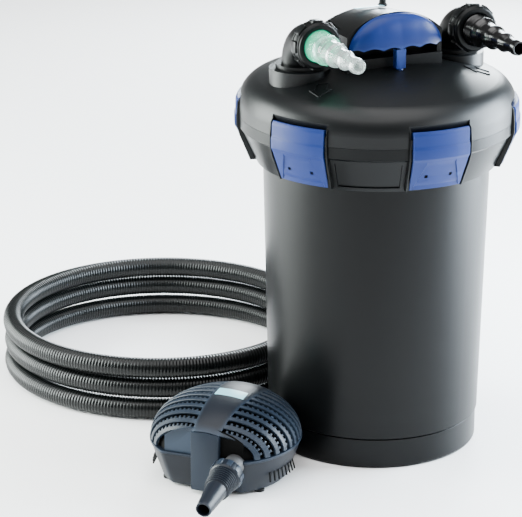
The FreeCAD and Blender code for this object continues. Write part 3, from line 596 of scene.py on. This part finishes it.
centres = resampled(hose_path, RIB_PITCH / RIB_STEPS)
ahead = np.gradient(centres, axis=0)
ahead /= np.linalg.norm(ahead, axis=1)[:, None]
sideways = np.cross(ahead, (0, 0, 1))
sideways /= np.linalg.norm(sideways, axis=1)[:, None]
upwards = np.cross(sideways, ahead)
turns = 2 * math.pi * np.arange(HOSE_SIDES) / HOSE_SIDES
phase = 2 * math.pi * np.arange(len(centres)) / RIB_STEPS
rib = RIB_DEPTH * (np.abs(np.cos((phase[:, None] - turns[None, :]) / 2)) ** 1.6 - 0.75)
width = HOSE_ACROSS / 2 - 0.0002 + rib
outwards = (np.cos(turns)[None, :, None] * sideways[:, None, :]
            + np.sin(turns)[None, :, None] * upwards[:, None, :])
ring_points = centres[:, None, :] + width[:, :, None] * outwards
hose_points = ring_points.reshape(-1, 3)
hose_faces = grid_faces(len(centres), HOSE_SIDES, wrap_columns=True)


def with_end(points, faces, ring, inward):
    """The tube with its wall's thickness at a cut end and a short bore behind it."""
    base = ring * HOSE_SIDES
    outer = points[base:base + HOSE_SIDES]
    start = len(points)
    lip = centres[ring] + (outer - centres[ring]) * BORE_SHARE
    added = []
    for side in range(HOSE_SIDES):
        beside = (side + 1) % HOSE_SIDES
        added.append((base + side, base + beside, start + beside, start + side))
        added.append((start + side, start + beside, start + HOSE_SIDES + beside,
                      start + HOSE_SIDES + side))
    added.append(tuple(start + HOSE_SIDES + side for side in range(HOSE_SIDES)))
    return np.vstack([points, lip, lip + inward * BORE_DEPTH]), faces + added


hose_points, hose_faces = with_end(hose_points, hose_faces, 0, ahead[0])
hose_points, hose_faces = with_end(hose_points, hose_faces, len(centres) - 1, -ahead[-1])
hose = mesh_piece("ribbed_hose", hose_points, hose_faces, "canister", "black_hose", HOSE_BLACK,
                  replaced=["hose_coil"], crease=80)
bpy.data.objects.remove(line)
print("hose rings:", len(centres), "faces:", len(hose_faces))

# %% [markdown]
# ## Clamps
# Six curved latches hold the lid. Each is one injection moulding: a hook above, a broad shield with a
# recessed panel below, and two square holes left by the cores that form the pin's barrel.

# %% One clamp
CLAMP_LINE = [(0.1735, 0.4100), (0.1762, 0.4096), (0.1934, 0.4520), (0.1960, 0.4560), (0.1960, 0.4700),
              (0.1946, 0.4722), (0.1942, 0.4885), (0.1920, 0.4930), (0.1845, 0.4910), (0.1842, 0.4852),
              (0.1912, 0.4832), (0.1920, 0.4700), (0.1918, 0.4590), (0.1895, 0.4510)]
CLAMP_HALF = math.radians(12.4)
CLAMP_COUNT = 6
PANEL_TOP, PANEL_TOP_HALF, PANEL_LOW_HALF, PANEL_DEPTH = 0.4480, 0.0200, 0.0360, 0.0016
HOLE_SIZE, HOLE_APART, HOLE_HEIGHT = 0.0046, 0.018, 0.429


def clamp_rows():
    """The clamp's section, with close rows where the recessed panel begins and ends."""
    outline = rounded(CLAMP_LINE[1:], 0.0011, 3)
    rows = []
    for index, point in enumerate(outline):
        following = outline[(index + 1) % len(outline)]
        steps = max(1, int((following - point).length / 0.004))
        rows += [point.lerp(following, step / steps) for step in range(steps)]
    return rows


def clamp_mesh():
    """The latch before its holes: the section swept round the lid, with the panel pressed in."""
    rows = clamp_rows()
    half = CLAMP_HALF * 0.1885
    points = []
    for radius, height in rows:
        share = min(max((PANEL_TOP - height) / (PANEL_TOP - 0.410), 0), 1)
        panel = PANEL_TOP_HALF + (PANEL_LOW_HALF - PANEL_TOP_HALF) * share
        outer = radius > 0.1762 + (height - 0.410) * 0.345 and 0.411 < height < PANEL_TOP
        places = [-half, -half + 0.0009, -half + 0.003, -panel - 0.0012, -panel]
        places += [panel * step / 6 for step in range(-5, 6)]
        places += [panel, panel + 0.0012, half - 0.003, half - 0.0009, half]
        for column, place in enumerate(places):
            place = min(max(place, -half), half)
            sunk = PANEL_DEPTH if outer and 4 <= column <= len(places) - 5 else 0
            edge = 0.0010 if column in (0, len(places) - 1) and radius > 0.176 else 0
            turn = place / half * CLAMP_HALF
            points.append(((radius - sunk - edge) * math.cos(turn),
                           (radius - sunk - edge) * math.sin(turn), height))
    columns = len(places)
    faces = grid_faces(len(rows), columns, wrap_rows=True)
    faces.append(tuple(row * columns for row in range(len(rows))))
    faces.append(tuple(row * columns + columns - 1 for row in range(len(rows))))
    mesh = bpy.data.meshes.new("clamp_rough")
    mesh.from_pydata(points, [], faces)
    work = bmesh.new()
    work.from_mesh(mesh)
    bmesh.ops.remove_doubles(work, verts=work.verts, dist=1e-6)
    bmesh.ops.recalc_face_normals(work, faces=work.faces)
    return mesh_of("clamp_master", work)


def cut_holes(mesh):
    """Square holes, cut with one boolean."""
    body = new_object("clamp_cut", mesh)
    work = bmesh.new()
    for side in (-1, 1):
        place = Matrix.Translation((0.185, side * HOLE_APART, HOLE_HEIGHT))
        bmesh.ops.create_cube(work, size=1, matrix=place @ Matrix.Diagonal(
            (0.030, HOLE_SIZE, HOLE_SIZE, 1)))
    cutter = new_object("cutter", mesh_of("hole_cutters", work))
    hole = body.modifiers.new("holes", "BOOLEAN")
    hole.operation = "DIFFERENCE"
    hole.solver = "EXACT"
    hole.use_self = True
    hole.object = cutter
    made = baked(body, "clamp_with_holes")
    bpy.data.objects.remove(cutter)
    done = made.data
    bpy.data.objects.remove(made)
    return done


clamp_master = cut_holes(clamp_mesh())
for number in range(1, CLAMP_COUNT + 1):
    turn = Matrix.Rotation(math.radians(60 * (number - 1) - 90), 4, "Z")
    copy = clamp_master.copy()
    copy.transform(turn)
    finish_piece(new_object(f"latch_{number}", copy), f"clamp_{number}", "blue_grip", GRIP_BLUE,
                 replaced=[f"clamp_{number}"], crease=24)
print("clamp faces:", len(clamp_master.polygons))

# %% [markdown]
# ## Guard ribs
# A thin wall on both sides of each latch keeps a bumped latch from springing open sideways.

# %% Guard ribs
GUARD_LINE = [(0.166, 0.4075), (0.1755, 0.4075), (0.1905, 0.4440), (0.1940, 0.4570), (0.1940, 0.4720),
              (0.1922, 0.4900), (0.1860, 0.4985), (0.1790, 0.5030), (0.1740, 0.4980), (0.1840, 0.4800),
              (0.1860, 0.4600), (0.1800, 0.4480)]
GUARD_TURN = 13.55


def plate_mesh(name, outline, thick, ease=0.0005):
    """A flat plate from an outline in the XZ plane, thick along Y, with eased edges."""
    count = len(outline)
    work = bmesh.new()
    low = [work.verts.new((x, -thick / 2, z)) for x, z in outline]
    high = [work.verts.new((x, thick / 2, z)) for x, z in outline]
    work.faces.new(low)
    work.faces.new(high[::-1])
    for index in range(count):
        beside = (index + 1) % count
        work.faces.new((low[index], high[index], high[beside], low[beside]))
    bmesh.ops.recalc_face_normals(work, faces=work.faces)
    if ease:
        rim = [edge for edge in work.edges if edge.calc_face_angle(0) > math.radians(60)]
        bmesh.ops.bevel(work, geom=rim, offset=ease, segments=2, affect="EDGES", profile=0.5)
    return mesh_of(name, work)


guard_places = [Matrix.Rotation(math.radians(60 * index - 90 + side * GUARD_TURN), 4, "Z")
                for index in range(CLAMP_COUNT) for side in (-1, 1)]
repeated("guard_ribs", plate_mesh("guard_master", GUARD_LINE, 0.0020), guard_places,
         "canister", "black_shell", SHELL_BLACK)
print("guard ribs:", len(guard_places))

# %% [markdown]
# ## Flow arrows
# Raised outlines on the lid show which way the water runs. They stay blank inside.

# %% Flow arrows
DOME_RADIUS, DOME_MIDDLE = 0.500, 0.049
BEAD_LONG = 0.01
ARROW = [(-0.018, -0.008), (0.000, -0.008), (0.000, -0.015), (0.017, 0.000), (0.000, 0.015),
         (0.000, 0.008), (-0.018, 0.008)]
ARROW_SPOTS = [(-0.1190, -0.0700, -125), (0.1190, -0.0620, 152)]


def dome_spot(x, y):
    """A place on the lid and the way it faces."""
    height = math.sqrt(DOME_RADIUS ** 2 - x * x - y * y)
    return Vector((x, y, DOME_MIDDLE + height)), Vector((x, y, height)).normalized()


bead_places = []
for middle_x, middle_y, heading in ARROW_SPOTS:
    turn = math.radians(heading)
    corners = [(middle_x + x * math.cos(turn) - y * math.sin(turn),
                middle_y + x * math.sin(turn) + y * math.cos(turn)) for x, y in ARROW]
    for start, end in zip(corners, corners[1:] + corners[:1]):
        first, out = dome_spot(*start)
        second = dome_spot(*end)[0]
        along = (second - first).normalized()
        across = out.cross(along).normalized()
        length = (second - first).length + 0.0008
        bead_places.append(Matrix.Translation((first + second) / 2)
                           @ facing(along, across, along.cross(across))
                           @ Matrix.Diagonal((length / BEAD_LONG, 1, 1, 1)))
repeated("flow_arrows", block_mesh("bead_master", (BEAD_LONG, 0.0012, 0.0026), 0.0003), bead_places,
         "canister", "black_shell", LID_BLACK)
print("arrow beads:", len(bead_places))

# %% [markdown]
# ## Union nuts and hose tails
# The nut's broad lugs give wet hands a grip. The stepped tail takes four hose sizes: the user cuts it back
# to the step that fits. The outlet's tail is clear, so the lamp's glow shows that it works.

# %% Union nuts
NUT_LINE = [(0.0289, 0.0), (0.0308, 0.0), (0.0316, 0.0010), (0.0316, 0.0030), (0.0302, 0.0038),
            (0.0302, 0.0165), (0.0316, 0.0172), (0.0316, 0.0196), (0.0300, 0.0212), (0.0296, 0.0232),
            (0.0286, 0.0240), (0.0236, 0.0240), (0.0222, 0.0226), (0.0222, 0.0172), (0.0289, 0.0172)]
LUGS = 8
TO_FRONT = Matrix.Rotation(math.radians(90), 4, "X")
for name in ("outlet", "inlet"):
    low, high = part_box(f"{name}_union_nut")
    middle = (low + high) / 2
    place = Matrix.Translation((middle.x, high.y, middle.z)) @ TO_FRONT
    points, faces = turned(rounded(NUT_LINE, 0.0006, 2), place)
    mesh_piece(f"{name}_nut_ring", points, faces, f"{name}_nut", "black_shell", SHELL_BLACK,
               replaced=[f"{name}_union_nut"])
    lug = block_mesh("lug_master", (0.0046, 0.0155, 0.0134), 0.0011)
    places = [place @ Matrix.Rotation(2 * math.pi * index / LUGS, 4, "Z")
              @ Matrix.Translation((0.0312, 0, 0.0101)) for index in range(LUGS)]
    repeated(f"{name}_nut_lugs", lug, places, f"{name}_nut", "black_shell", SHELL_BLACK)
print("union nuts: 2 with", LUGS, "lugs each")

# %% [markdown]
# ## Stepped hose tails
# Both tails share one turned outline, clear for the outlet and black for the inlet. Each step ends in a
# barb that holds the hose, and fine rings near the nut seal the widest size.

# %% Stepped hose tails
STEP_LONG = 0.029
STEP_RADII = (0.0200, 0.0160, 0.0125, 0.0100)
STEP_FROM = 0.012


def tail_outline():
    """Outside with a barb at each step and fine rings near the nut, then the bore back to the start."""
    line = [(0.0168, 0.0), (0.0282, 0.0), (0.0282, 0.0044), (0.0210, 0.0044), (0.0210, 0.0115)]
    for number, radius in enumerate(STEP_RADII):
        start = STEP_FROM + STEP_LONG * number
        if number == 0:
            for ring in range(4):
                base = start + 0.0014 + 0.0034 * ring
                line += [(radius - 0.0010, base), (radius + 0.0004, base + 0.0006),
                         (radius + 0.0004, base + 0.0018), (radius - 0.0010, base + 0.0026)]
            line += [(radius - 0.0010, start + 0.0160)]
        else:
            line += [(radius + 0.0006, start + 0.0008), (radius - 0.0002, start + 0.0022)]
        line += [(radius - 0.0004, start + 0.0170), (radius + 0.0007, start + 0.0190),
                 (radius + 0.0007, start + 0.0215)]
        following = STEP_RADII[number + 1] if number < 3 else radius - 0.0012
        line += [(following + 0.0008, start + STEP_LONG - 0.0006)]
    tip = STEP_FROM + STEP_LONG * len(STEP_RADII)
    line += [(STEP_RADII[3] - 0.0010, tip), (0.0078, tip), (0.0076, tip - 0.0012)]
    for number in (3, 2, 1):
        start = STEP_FROM + STEP_LONG * number
        line += [(STEP_RADII[number] - 0.0024, start + 0.003),
                 (STEP_RADII[number - 1] - 0.0026, start - 0.004)]
    line += [(0.0170, STEP_FROM + 0.002)]
    return line


for name, slot, finish in (("outlet", "clear_tail", CLEAR_TAIL), ("inlet", "black_shell", GLOSS_BLACK)):
    low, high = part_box(f"{name}_hose_tail")
    middle = (low + high) / 2
    place = Matrix.Translation((middle.x, high.y, middle.z)) @ TO_FRONT
    points, faces = turned(rounded(tail_outline(), 0.0005, 2), place, sides=72)
    mesh_piece(f"{name}_stepped_tail", points, faces, f"{name}_swivel", slot, finish,
               replaced=[f"{name}_hose_tail"], crease=50)
print("tails: length", round(high.y - low.y, 3))

# %% [markdown]
# ## Pull grip
# The blue grip is a thin hollow visor. Its top is arched like the hood behind it and its lower edge is
# scalloped for four fingers.

# %% Pull grip
VISOR_BACK = -0.0506
VISOR_LOW, VISOR_RISE, VISOR_HALF, VISOR_DEEP = 0.5735, 0.0450, 0.0690, 0.0215
FINGER_PITCH, FINGER_RISE = 0.027, 0.0036
VISOR_WALL = 0.0026


def visor_point(across, down):
    """A point of the outer skin: across from -1 to 1, down from the top edge to the lower edge."""
    x = VISOR_HALF * math.sin(across * math.pi / 2)
    share = abs(x / VISOR_HALF)
    rise = VISOR_RISE * max(1 - share ** 2.5, 0) ** 0.62
    reach = VISOR_DEEP * max(1 - share ** 3.0, 0) ** 0.5
    wave = FINGER_RISE * abs(math.sin(math.pi * x / FINGER_PITCH)) * min(1, (1 - share) * 8)
    angle = down * math.pi / 2
    drop = math.cos(angle) ** 0.86 if down < 1 else 0
    out = math.sin(angle) ** 0.86 if down > 0 else 0
    height = VISOR_LOW + wave + (rise - wave) * drop
    return Vector((x, VISOR_BACK - reach * out, max(height, VISOR_LOW)))


ACROSS, DOWN = 81, 22
outer = [[visor_point(-1 + 2 * column / (ACROSS - 1), row / (DOWN - 1)) for column in range(ACROSS)]
         for row in range(DOWN)]
visor_points = [point for line in outer for point in line]
for line in outer:
    for point in line:
        inner = Vector((point.x * 0.962, min(point.y + VISOR_WALL, VISOR_BACK), point.z))
        inner.z = max(point.z - VISOR_WALL * (point.z - VISOR_LOW) / VISOR_RISE, VISOR_LOW)
        visor_points.append(inner)
visor_faces = grid_faces(DOWN, ACROSS) + grid_faces(DOWN, ACROSS, start=DOWN * ACROSS)
skin = DOWN * ACROSS             # how many points lie on the outer skin, before the inner one
for row in (0, DOWN - 1):
    for column in range(ACROSS - 1):
        first = row * ACROSS + column
        visor_faces.append((first, first + 1, first + 1 + skin, first + skin))
for column in (0, ACROSS - 1):
    for row in range(DOWN - 1):
        first = row * ACROSS + column
        visor_faces.append((first, first + ACROSS, first + ACROSS + skin, first + skin))
mesh_piece("grip_visor", visor_points, visor_faces, "cleaning_handle", "blue_grip", GRIP_BLUE,
           replaced=["pull_handle"], crease=40)
print("grip faces:", len(visor_faces))

# %% [markdown]
# ## Pump
# The intake cage is a domed shell of hoops with comb teeth in every gap, so that coarse dirt stays out
# while water reaches the volute. A plain band runs over the top and down the front as a pillar.

# %% Pump frame and shell sizes
PUMP_SKIN = ("canister", "pump_shell", PUMP_GREY)
# painted shade: pieces with this finish are near black for the shade inside the pump and in its openings and
# niche
PUMP_SHADE = ("canister", "inner_black", SHADE_BLACK)
PUMP_PLACE = (-0.250, -0.053, 0)
PUMP_TURN = math.radians(-44)
PUMP = Matrix.Translation(PUMP_PLACE) @ Matrix.Rotation(PUMP_TURN, 4, "Z")
PUMP_ACROSS, PUMP_ALONG, PUMP_SEAM, PUMP_TOP = 0.103, 0.108, 0.055, 0.118
PUMP_FRONT = -0.088
BAND_LEFT, BAND_RIGHT_FRONT, BAND_RIGHT_BACK = -0.0145, 0.0235, 0.0420
print("pump shell:", 2 * PUMP_ACROSS, "by", 2 * PUMP_ALONG, "m")


def dome_point(x, y, inset=0.0, lift=0.0):
    """A point of the dome above a place in plan, moved inwards by an inset."""
    ux, uy = x / PUMP_ACROSS, y / PUMP_ALONG
    uz = math.sqrt(max(1 - ux * ux - uy * uy, 0))
    return Vector((ux * (PUMP_ACROSS - inset), uy * (PUMP_ALONG - inset),
                   PUMP_SEAM + uz * (PUMP_TOP - PUMP_SEAM - inset) + lift))


def band_edge(y, side):
    """Edge of the plain band: straight on the left, widening towards the back on the right."""
    if side < 0:
        return BAND_LEFT
    share = min(max((y - PUMP_FRONT) / 0.10, 0), 1)
    return BAND_RIGHT_FRONT + (BAND_RIGHT_BACK - BAND_RIGHT_FRONT) * share


HOOP_SLOPE = 0.20


def hoop_line(start_y, side, steps=26):
    """Places in plan from the band's edge to the seam along a hoop, slanting a little backwards."""
    x0 = band_edge(start_y, side)
    low, high = 0.0, 0.12
    for _ in range(40):
        middle = (low + high) / 2
        x, y = x0 + side * middle, start_y + HOOP_SLOPE * middle
        if (x / PUMP_ACROSS) ** 2 + (y / PUMP_ALONG) ** 2 < 0.9995:
            low = middle
        else:
            high = middle
    return [(x0 + side * low * math.sin(step / steps * math.pi / 2),
             start_y + HOOP_SLOPE * low * math.sin(step / steps * math.pi / 2))
            for step in range(steps + 1)]


def strip(front_line, back_line, wall, rows_out, faces_out, ease=0.0007):
    """A solid strip of the dome between two lines, with eased outer edges."""
    start, columns = len(rows_out), 6
    for (x0, y0), (x1, y1) in zip(front_line, back_line):
        cut = min(0.2, ease / max(math.hypot(x1 - x0, y1 - y0), 1e-5))
        rows_out += [dome_point(x0, y0, ease), dome_point(x0 + (x1 - x0) * cut, y0 + (y1 - y0) * cut),
                     dome_point(x1 + (x0 - x1) * cut, y1 + (y0 - y1) * cut), dome_point(x1, y1, ease),
                     dome_point(x1, y1, wall), dome_point(x0, y0, wall)]
    rows = len(front_line)
    faces_out += grid_faces(rows, columns, wrap_columns=True, start=start)
    faces_out.append(tuple(start + column for column in range(columns)))
    faces_out.append(tuple(start + (rows - 1) * columns + column for column in range(columns)))


# %% [markdown]
# ## Hoops and band
# Each hoop is a strip of the dome between two slanted lines. The comb teeth sit along the gaps and face
# outwards, and the band closes the top.

# %% Hoops and band
HOOP_WALL, HOOP_PITCH, HOOP_WIDE, RIM_WIDE = 0.0035, 0.0142, 0.0066, 0.0055
LAST_HOOP, LAST_COMB = 0.098, 0.075  # how far back the hoops and their comb teeth go
hoop_starts = [PUMP_FRONT + 0.0105 + HOOP_PITCH * index for index in range(12)]
cage_points, cage_faces = [], []
tooth_places = []
for side in (-1, 1):
    strip(hoop_line(PUMP_FRONT, side), hoop_line(PUMP_FRONT + RIM_WIDE, side), HOOP_WALL, cage_points,
          cage_faces)
    for start_y in hoop_starts:
        if start_y + HOOP_WIDE > LAST_HOOP:
            continue
        strip(hoop_line(start_y, side), hoop_line(start_y + HOOP_WIDE, side), HOOP_WALL, cage_points,
              cage_faces)
    for start_y in [PUMP_FRONT + RIM_WIDE] + [start + HOOP_WIDE for start in hoop_starts[:-1]]:
        if start_y > LAST_COMB:
            continue
        path = [dome_point(x, y, 0.0012) for x, y in hoop_line(start_y + 0.0016, side, 60)]
        even = resampled(path, 0.0072)
        for index in range(1, len(even) - 1):
            point = Vector(even[index])
            along = (Vector(even[index + 1]) - Vector(even[index - 1])).normalized()
            out = Vector((point.x / PUMP_ACROSS ** 2, point.y / PUMP_ALONG ** 2,
                          (point.z - PUMP_SEAM) / (PUMP_TOP - PUMP_SEAM) ** 2)).normalized()
            across = out.cross(along).normalized()
            sunk = point - out * 0.0013
            tooth_places.append(PUMP @ Matrix.Translation(sunk) @ facing(along, across, out))
mesh_piece("pump_cage", [PUMP @ point for point in cage_points], cage_faces, *PUMP_SKIN,
           replaced=["pump_upper_shell"])
repeated("pump_comb_teeth", block_mesh("tooth_master", (0.0030, 0.0046, 0.0026), 0.0004), tooth_places,
         *PUMP_SKIN)
print("comb teeth:", len(tooth_places))

band_points = []
rows, columns = 44, 15
for inset in (-0.0009, HOOP_WALL):
    for row in range(rows):
        y = PUMP_FRONT + (0.1055 - PUMP_FRONT) * math.sin(row / (rows - 1) * math.pi / 2)
        for column in range(columns):
            right = band_edge(y, 1)
            share = column / (columns - 1)
            edge = 0.0007 if column in (0, columns - 1) and inset < 0 else 0
            limit = PUMP_ACROSS * math.sqrt(max(1 - (y / PUMP_ALONG) ** 2, 0)) * 0.985
            x = max(min(BAND_LEFT + (right - BAND_LEFT) * share, limit), -limit)
            band_points.append(PUMP @ dome_point(x, y, inset + edge))
size = rows * columns
band_faces = grid_faces(rows, columns) + grid_faces(rows, columns, start=size)
border = list(range(columns))
border += [row * columns + columns - 1 for row in range(1, rows)]
border += [(rows - 1) * columns + column for column in range(columns - 2, -1, -1)]
border += [row * columns for row in range(rows - 2, 0, -1)]
for first, second in zip(border, border[1:] + border[:1]):
    band_faces.append((first, second, second + size, first + size))
mesh_piece("pump_band", band_points, band_faces, *PUMP_SKIN)

# %% [markdown]
# ## Inner dome, front walls and pillar
# A dome behind the hoops stands for the strainer and hides the motor; its near-black finish is painted
# shade, the shade inside the cage. The shell's front is cut flat, so the walls and the pillar there are flat
# plates. The right wall, in the niche where the outlet leaves, is painted shade too.

# %% Inner dome, front walls and pillar
DARK_INSET, DARK_ROWS, DARK_COLUMNS = 0.0065, 16, 72
dark_points = []
for row in range(DARK_ROWS):
    tilt = row / (DARK_ROWS - 1) * math.pi / 2
    for column in range(DARK_COLUMNS):
        turn = 2 * math.pi * column / DARK_COLUMNS
        point = Vector(((PUMP_ACROSS - DARK_INSET) * math.cos(turn) * math.cos(tilt),
                        (PUMP_ALONG - DARK_INSET) * math.sin(turn) * math.cos(tilt),
                        PUMP_SEAM + (PUMP_TOP - PUMP_SEAM - DARK_INSET) * math.sin(tilt)))
        point.y = max(point.y, PUMP_FRONT + 0.006)
        dark_points.append(PUMP @ point)
dark_faces = grid_faces(DARK_ROWS, DARK_COLUMNS, wrap_columns=True) + [tuple(range(DARK_COLUMNS))]
# painted shade: the inner dome is near black for the shade seen through the gaps between the hoops
mesh_piece("pump_inner_dome", dark_points, dark_faces, *PUMP_SHADE)


def arch_plate(name, low_x, high_x, y, thick, skin):
    """A flat wall under the dome's rim between two places."""
    outline = []
    for step in range(25):
        x = low_x + (high_x - low_x) * step / 24
        outline.append((x, dome_point(x, min(y + 0.004, -0.06), 0.0020).z))
    outline += [(high_x, PUMP_SEAM - 0.002), (low_x, PUMP_SEAM - 0.002)]
    mesh = plate_mesh(name, outline, thick, ease=0)
    mesh.transform(PUMP @ Matrix.Translation((0, y + thick / 2, 0)))
    finish_piece(new_object(name, mesh), *skin)


arch_plate("pump_front_left", -0.056, -0.012, PUMP_FRONT + 0.0030, 0.003, PUMP_SKIN)
# painted shade: the right wall sits in the niche where the outlet leaves and is given the near-black shade
# finish
arch_plate("pump_front_right", 0.020, 0.056, PUMP_FRONT + 0.0048, 0.001, PUMP_SHADE)
PILLAR_LOW, PILLAR_TOP = 0.006, 0.0912
pillar_outline = [(BAND_LEFT - 0.0025, PILLAR_LOW), (BAND_RIGHT_FRONT, PILLAR_LOW),
                  (BAND_RIGHT_FRONT, 0.0885), (0.004, PILLAR_TOP), (BAND_LEFT - 0.0025, 0.0900)]
pillar_mesh = plate_mesh("pump_pillar", pillar_outline, 0.016, ease=0.0012)
pillar_mesh.transform(PUMP @ Matrix.Translation((0, PUMP_FRONT + 0.0062, 0)))
finish_piece(new_object("pump_pillar", pillar_mesh), *PUMP_SKIN)
print("pillar:", round(PILLAR_TOP - PILLAR_LOW, 4), "m tall")

# %% [markdown]
# ## Lower shell
# The tub widens to a rim that the cage sits on. Upright slots at both sides let water in low down; each is
# drawn as a thin near-black block on the tub, painted shade standing for the opening.

# %% Lower shell
LOWER_LEVELS = [(0.0040, 0.822), (0.0062, 0.845), (0.0300, 0.925), (0.0490, 0.986), (0.0515, 0.993),
                (0.0525, 1.006), (0.0556, 1.006), (0.0560, 0.995), (0.0560, 0.955)]
LOWER_SIDES = 120
lower_points = []
for height, ratio in LOWER_LEVELS:
    for side in range(LOWER_SIDES):
        turn = 2 * math.pi * side / LOWER_SIDES
        y = max(PUMP_ALONG * math.sin(turn), PUMP_FRONT)
        lower_points.append(PUMP @ Vector((PUMP_ACROSS * ratio * math.cos(turn), y * ratio, height)))
lower_faces = grid_faces(len(LOWER_LEVELS), LOWER_SIDES, wrap_columns=True)
lower_faces.append(tuple(range(LOWER_SIDES)))
lower_faces.append(tuple(range(len(lower_points) - LOWER_SIDES, len(lower_points))))
mesh_piece("pump_tub", lower_points, lower_faces, *PUMP_SKIN, replaced=["pump_lower_shell"])

SLOTS, SLOT_RATIO = 8, 0.922
slot_places = []
for middle_turn in (-14, 194):
    for index in range(SLOTS):
        turn = math.radians(middle_turn + (index - (SLOTS - 1) / 2) * 4.6)
        point = Vector((PUMP_ACROSS * SLOT_RATIO * math.cos(turn),
                        PUMP_ALONG * SLOT_RATIO * math.sin(turn), 0.029))
        out = Vector((math.cos(turn), math.sin(turn), -0.33)).normalized()
        along = Vector((-math.sin(turn) * 0.33, math.cos(turn) * 0.33, 0.94))
        along = (along - out * along.dot(out)).normalized()
        across = out.cross(along).normalized()
        slot_places.append(PUMP @ Matrix.Translation(point) @ facing(across, along, out))
print("side slots:", len(slot_places))
# painted shade: each slot is a thin near-black block on the tub's surface, not an opening
repeated("pump_side_slots", block_mesh("slot_master", (0.0026, 0.026, 0.0016), 0.0004), slot_places,
         *PUMP_SHADE)

# %% [markdown]
# ## Pump outlet
# A ribbed nut holds a slim tail that points a little down. Its rings grip the hose behind a clip.

# %% Pump outlet
PITCH = math.radians(99.5)
OUTLET = PUMP @ Matrix.Translation((0.0443, -0.101, 0.050)) @ Matrix.Rotation(PITCH, 4, "X")
nut_line = [(0.0150, 0.008), (0.0205, 0.008), (0.0218, 0.0095), (0.0218, 0.0225), (0.0200, 0.0255),
            (0.0176, 0.0262), (0.0150, 0.0262)]
points, faces = turned(rounded(nut_line, 0.0006, 2), OUTLET, sides=64)
mesh_piece("pump_nut_ring", points, faces, "pump_nut", "pump_shell", PUMP_GREY,
           replaced=["pump_outlet_nut"])
NUT_RIBS = 10
rib_places = [OUTLET @ Matrix.Rotation(2 * math.pi * index / NUT_RIBS, 4, "Z")
              @ Matrix.Translation((0.0218, 0, 0.0160)) for index in range(NUT_RIBS)]
repeated("pump_nut_ribs", block_mesh("nut_rib_master", (0.0018, 0.0070, 0.0130), 0.0006), rib_places,
         "pump_nut", "pump_shell", PUMP_GREY)

tail_line = [(0.0085, 0.006), (0.0142, 0.006), (0.0142, 0.0270)]
for ring in range(7):
    base, radius = 0.0272 + 0.0038 * ring, 0.0198 - 0.0004 * ring
    tail_line += [(radius - 0.0026, base), (radius, base + 0.0006), (radius, base + 0.0016),
                  (radius - 0.0026, base + 0.0024)]
tail_line += [(0.0146, 0.0550), (0.0144, 0.0575), (0.0142, 0.0600), (0.0112, 0.0940), (0.0106, 0.1010),
              (0.0086, 0.1010), (0.0084, 0.0980), (0.0086, 0.0600)]
points, faces = turned(rounded(tail_line, 0.0004, 2), OUTLET, sides=64)
mesh_piece("pump_tail", points, faces, *PUMP_SKIN, replaced=["pump_hose_tail"], crease=50)
print("pump outlet ribs:", len(rib_places))
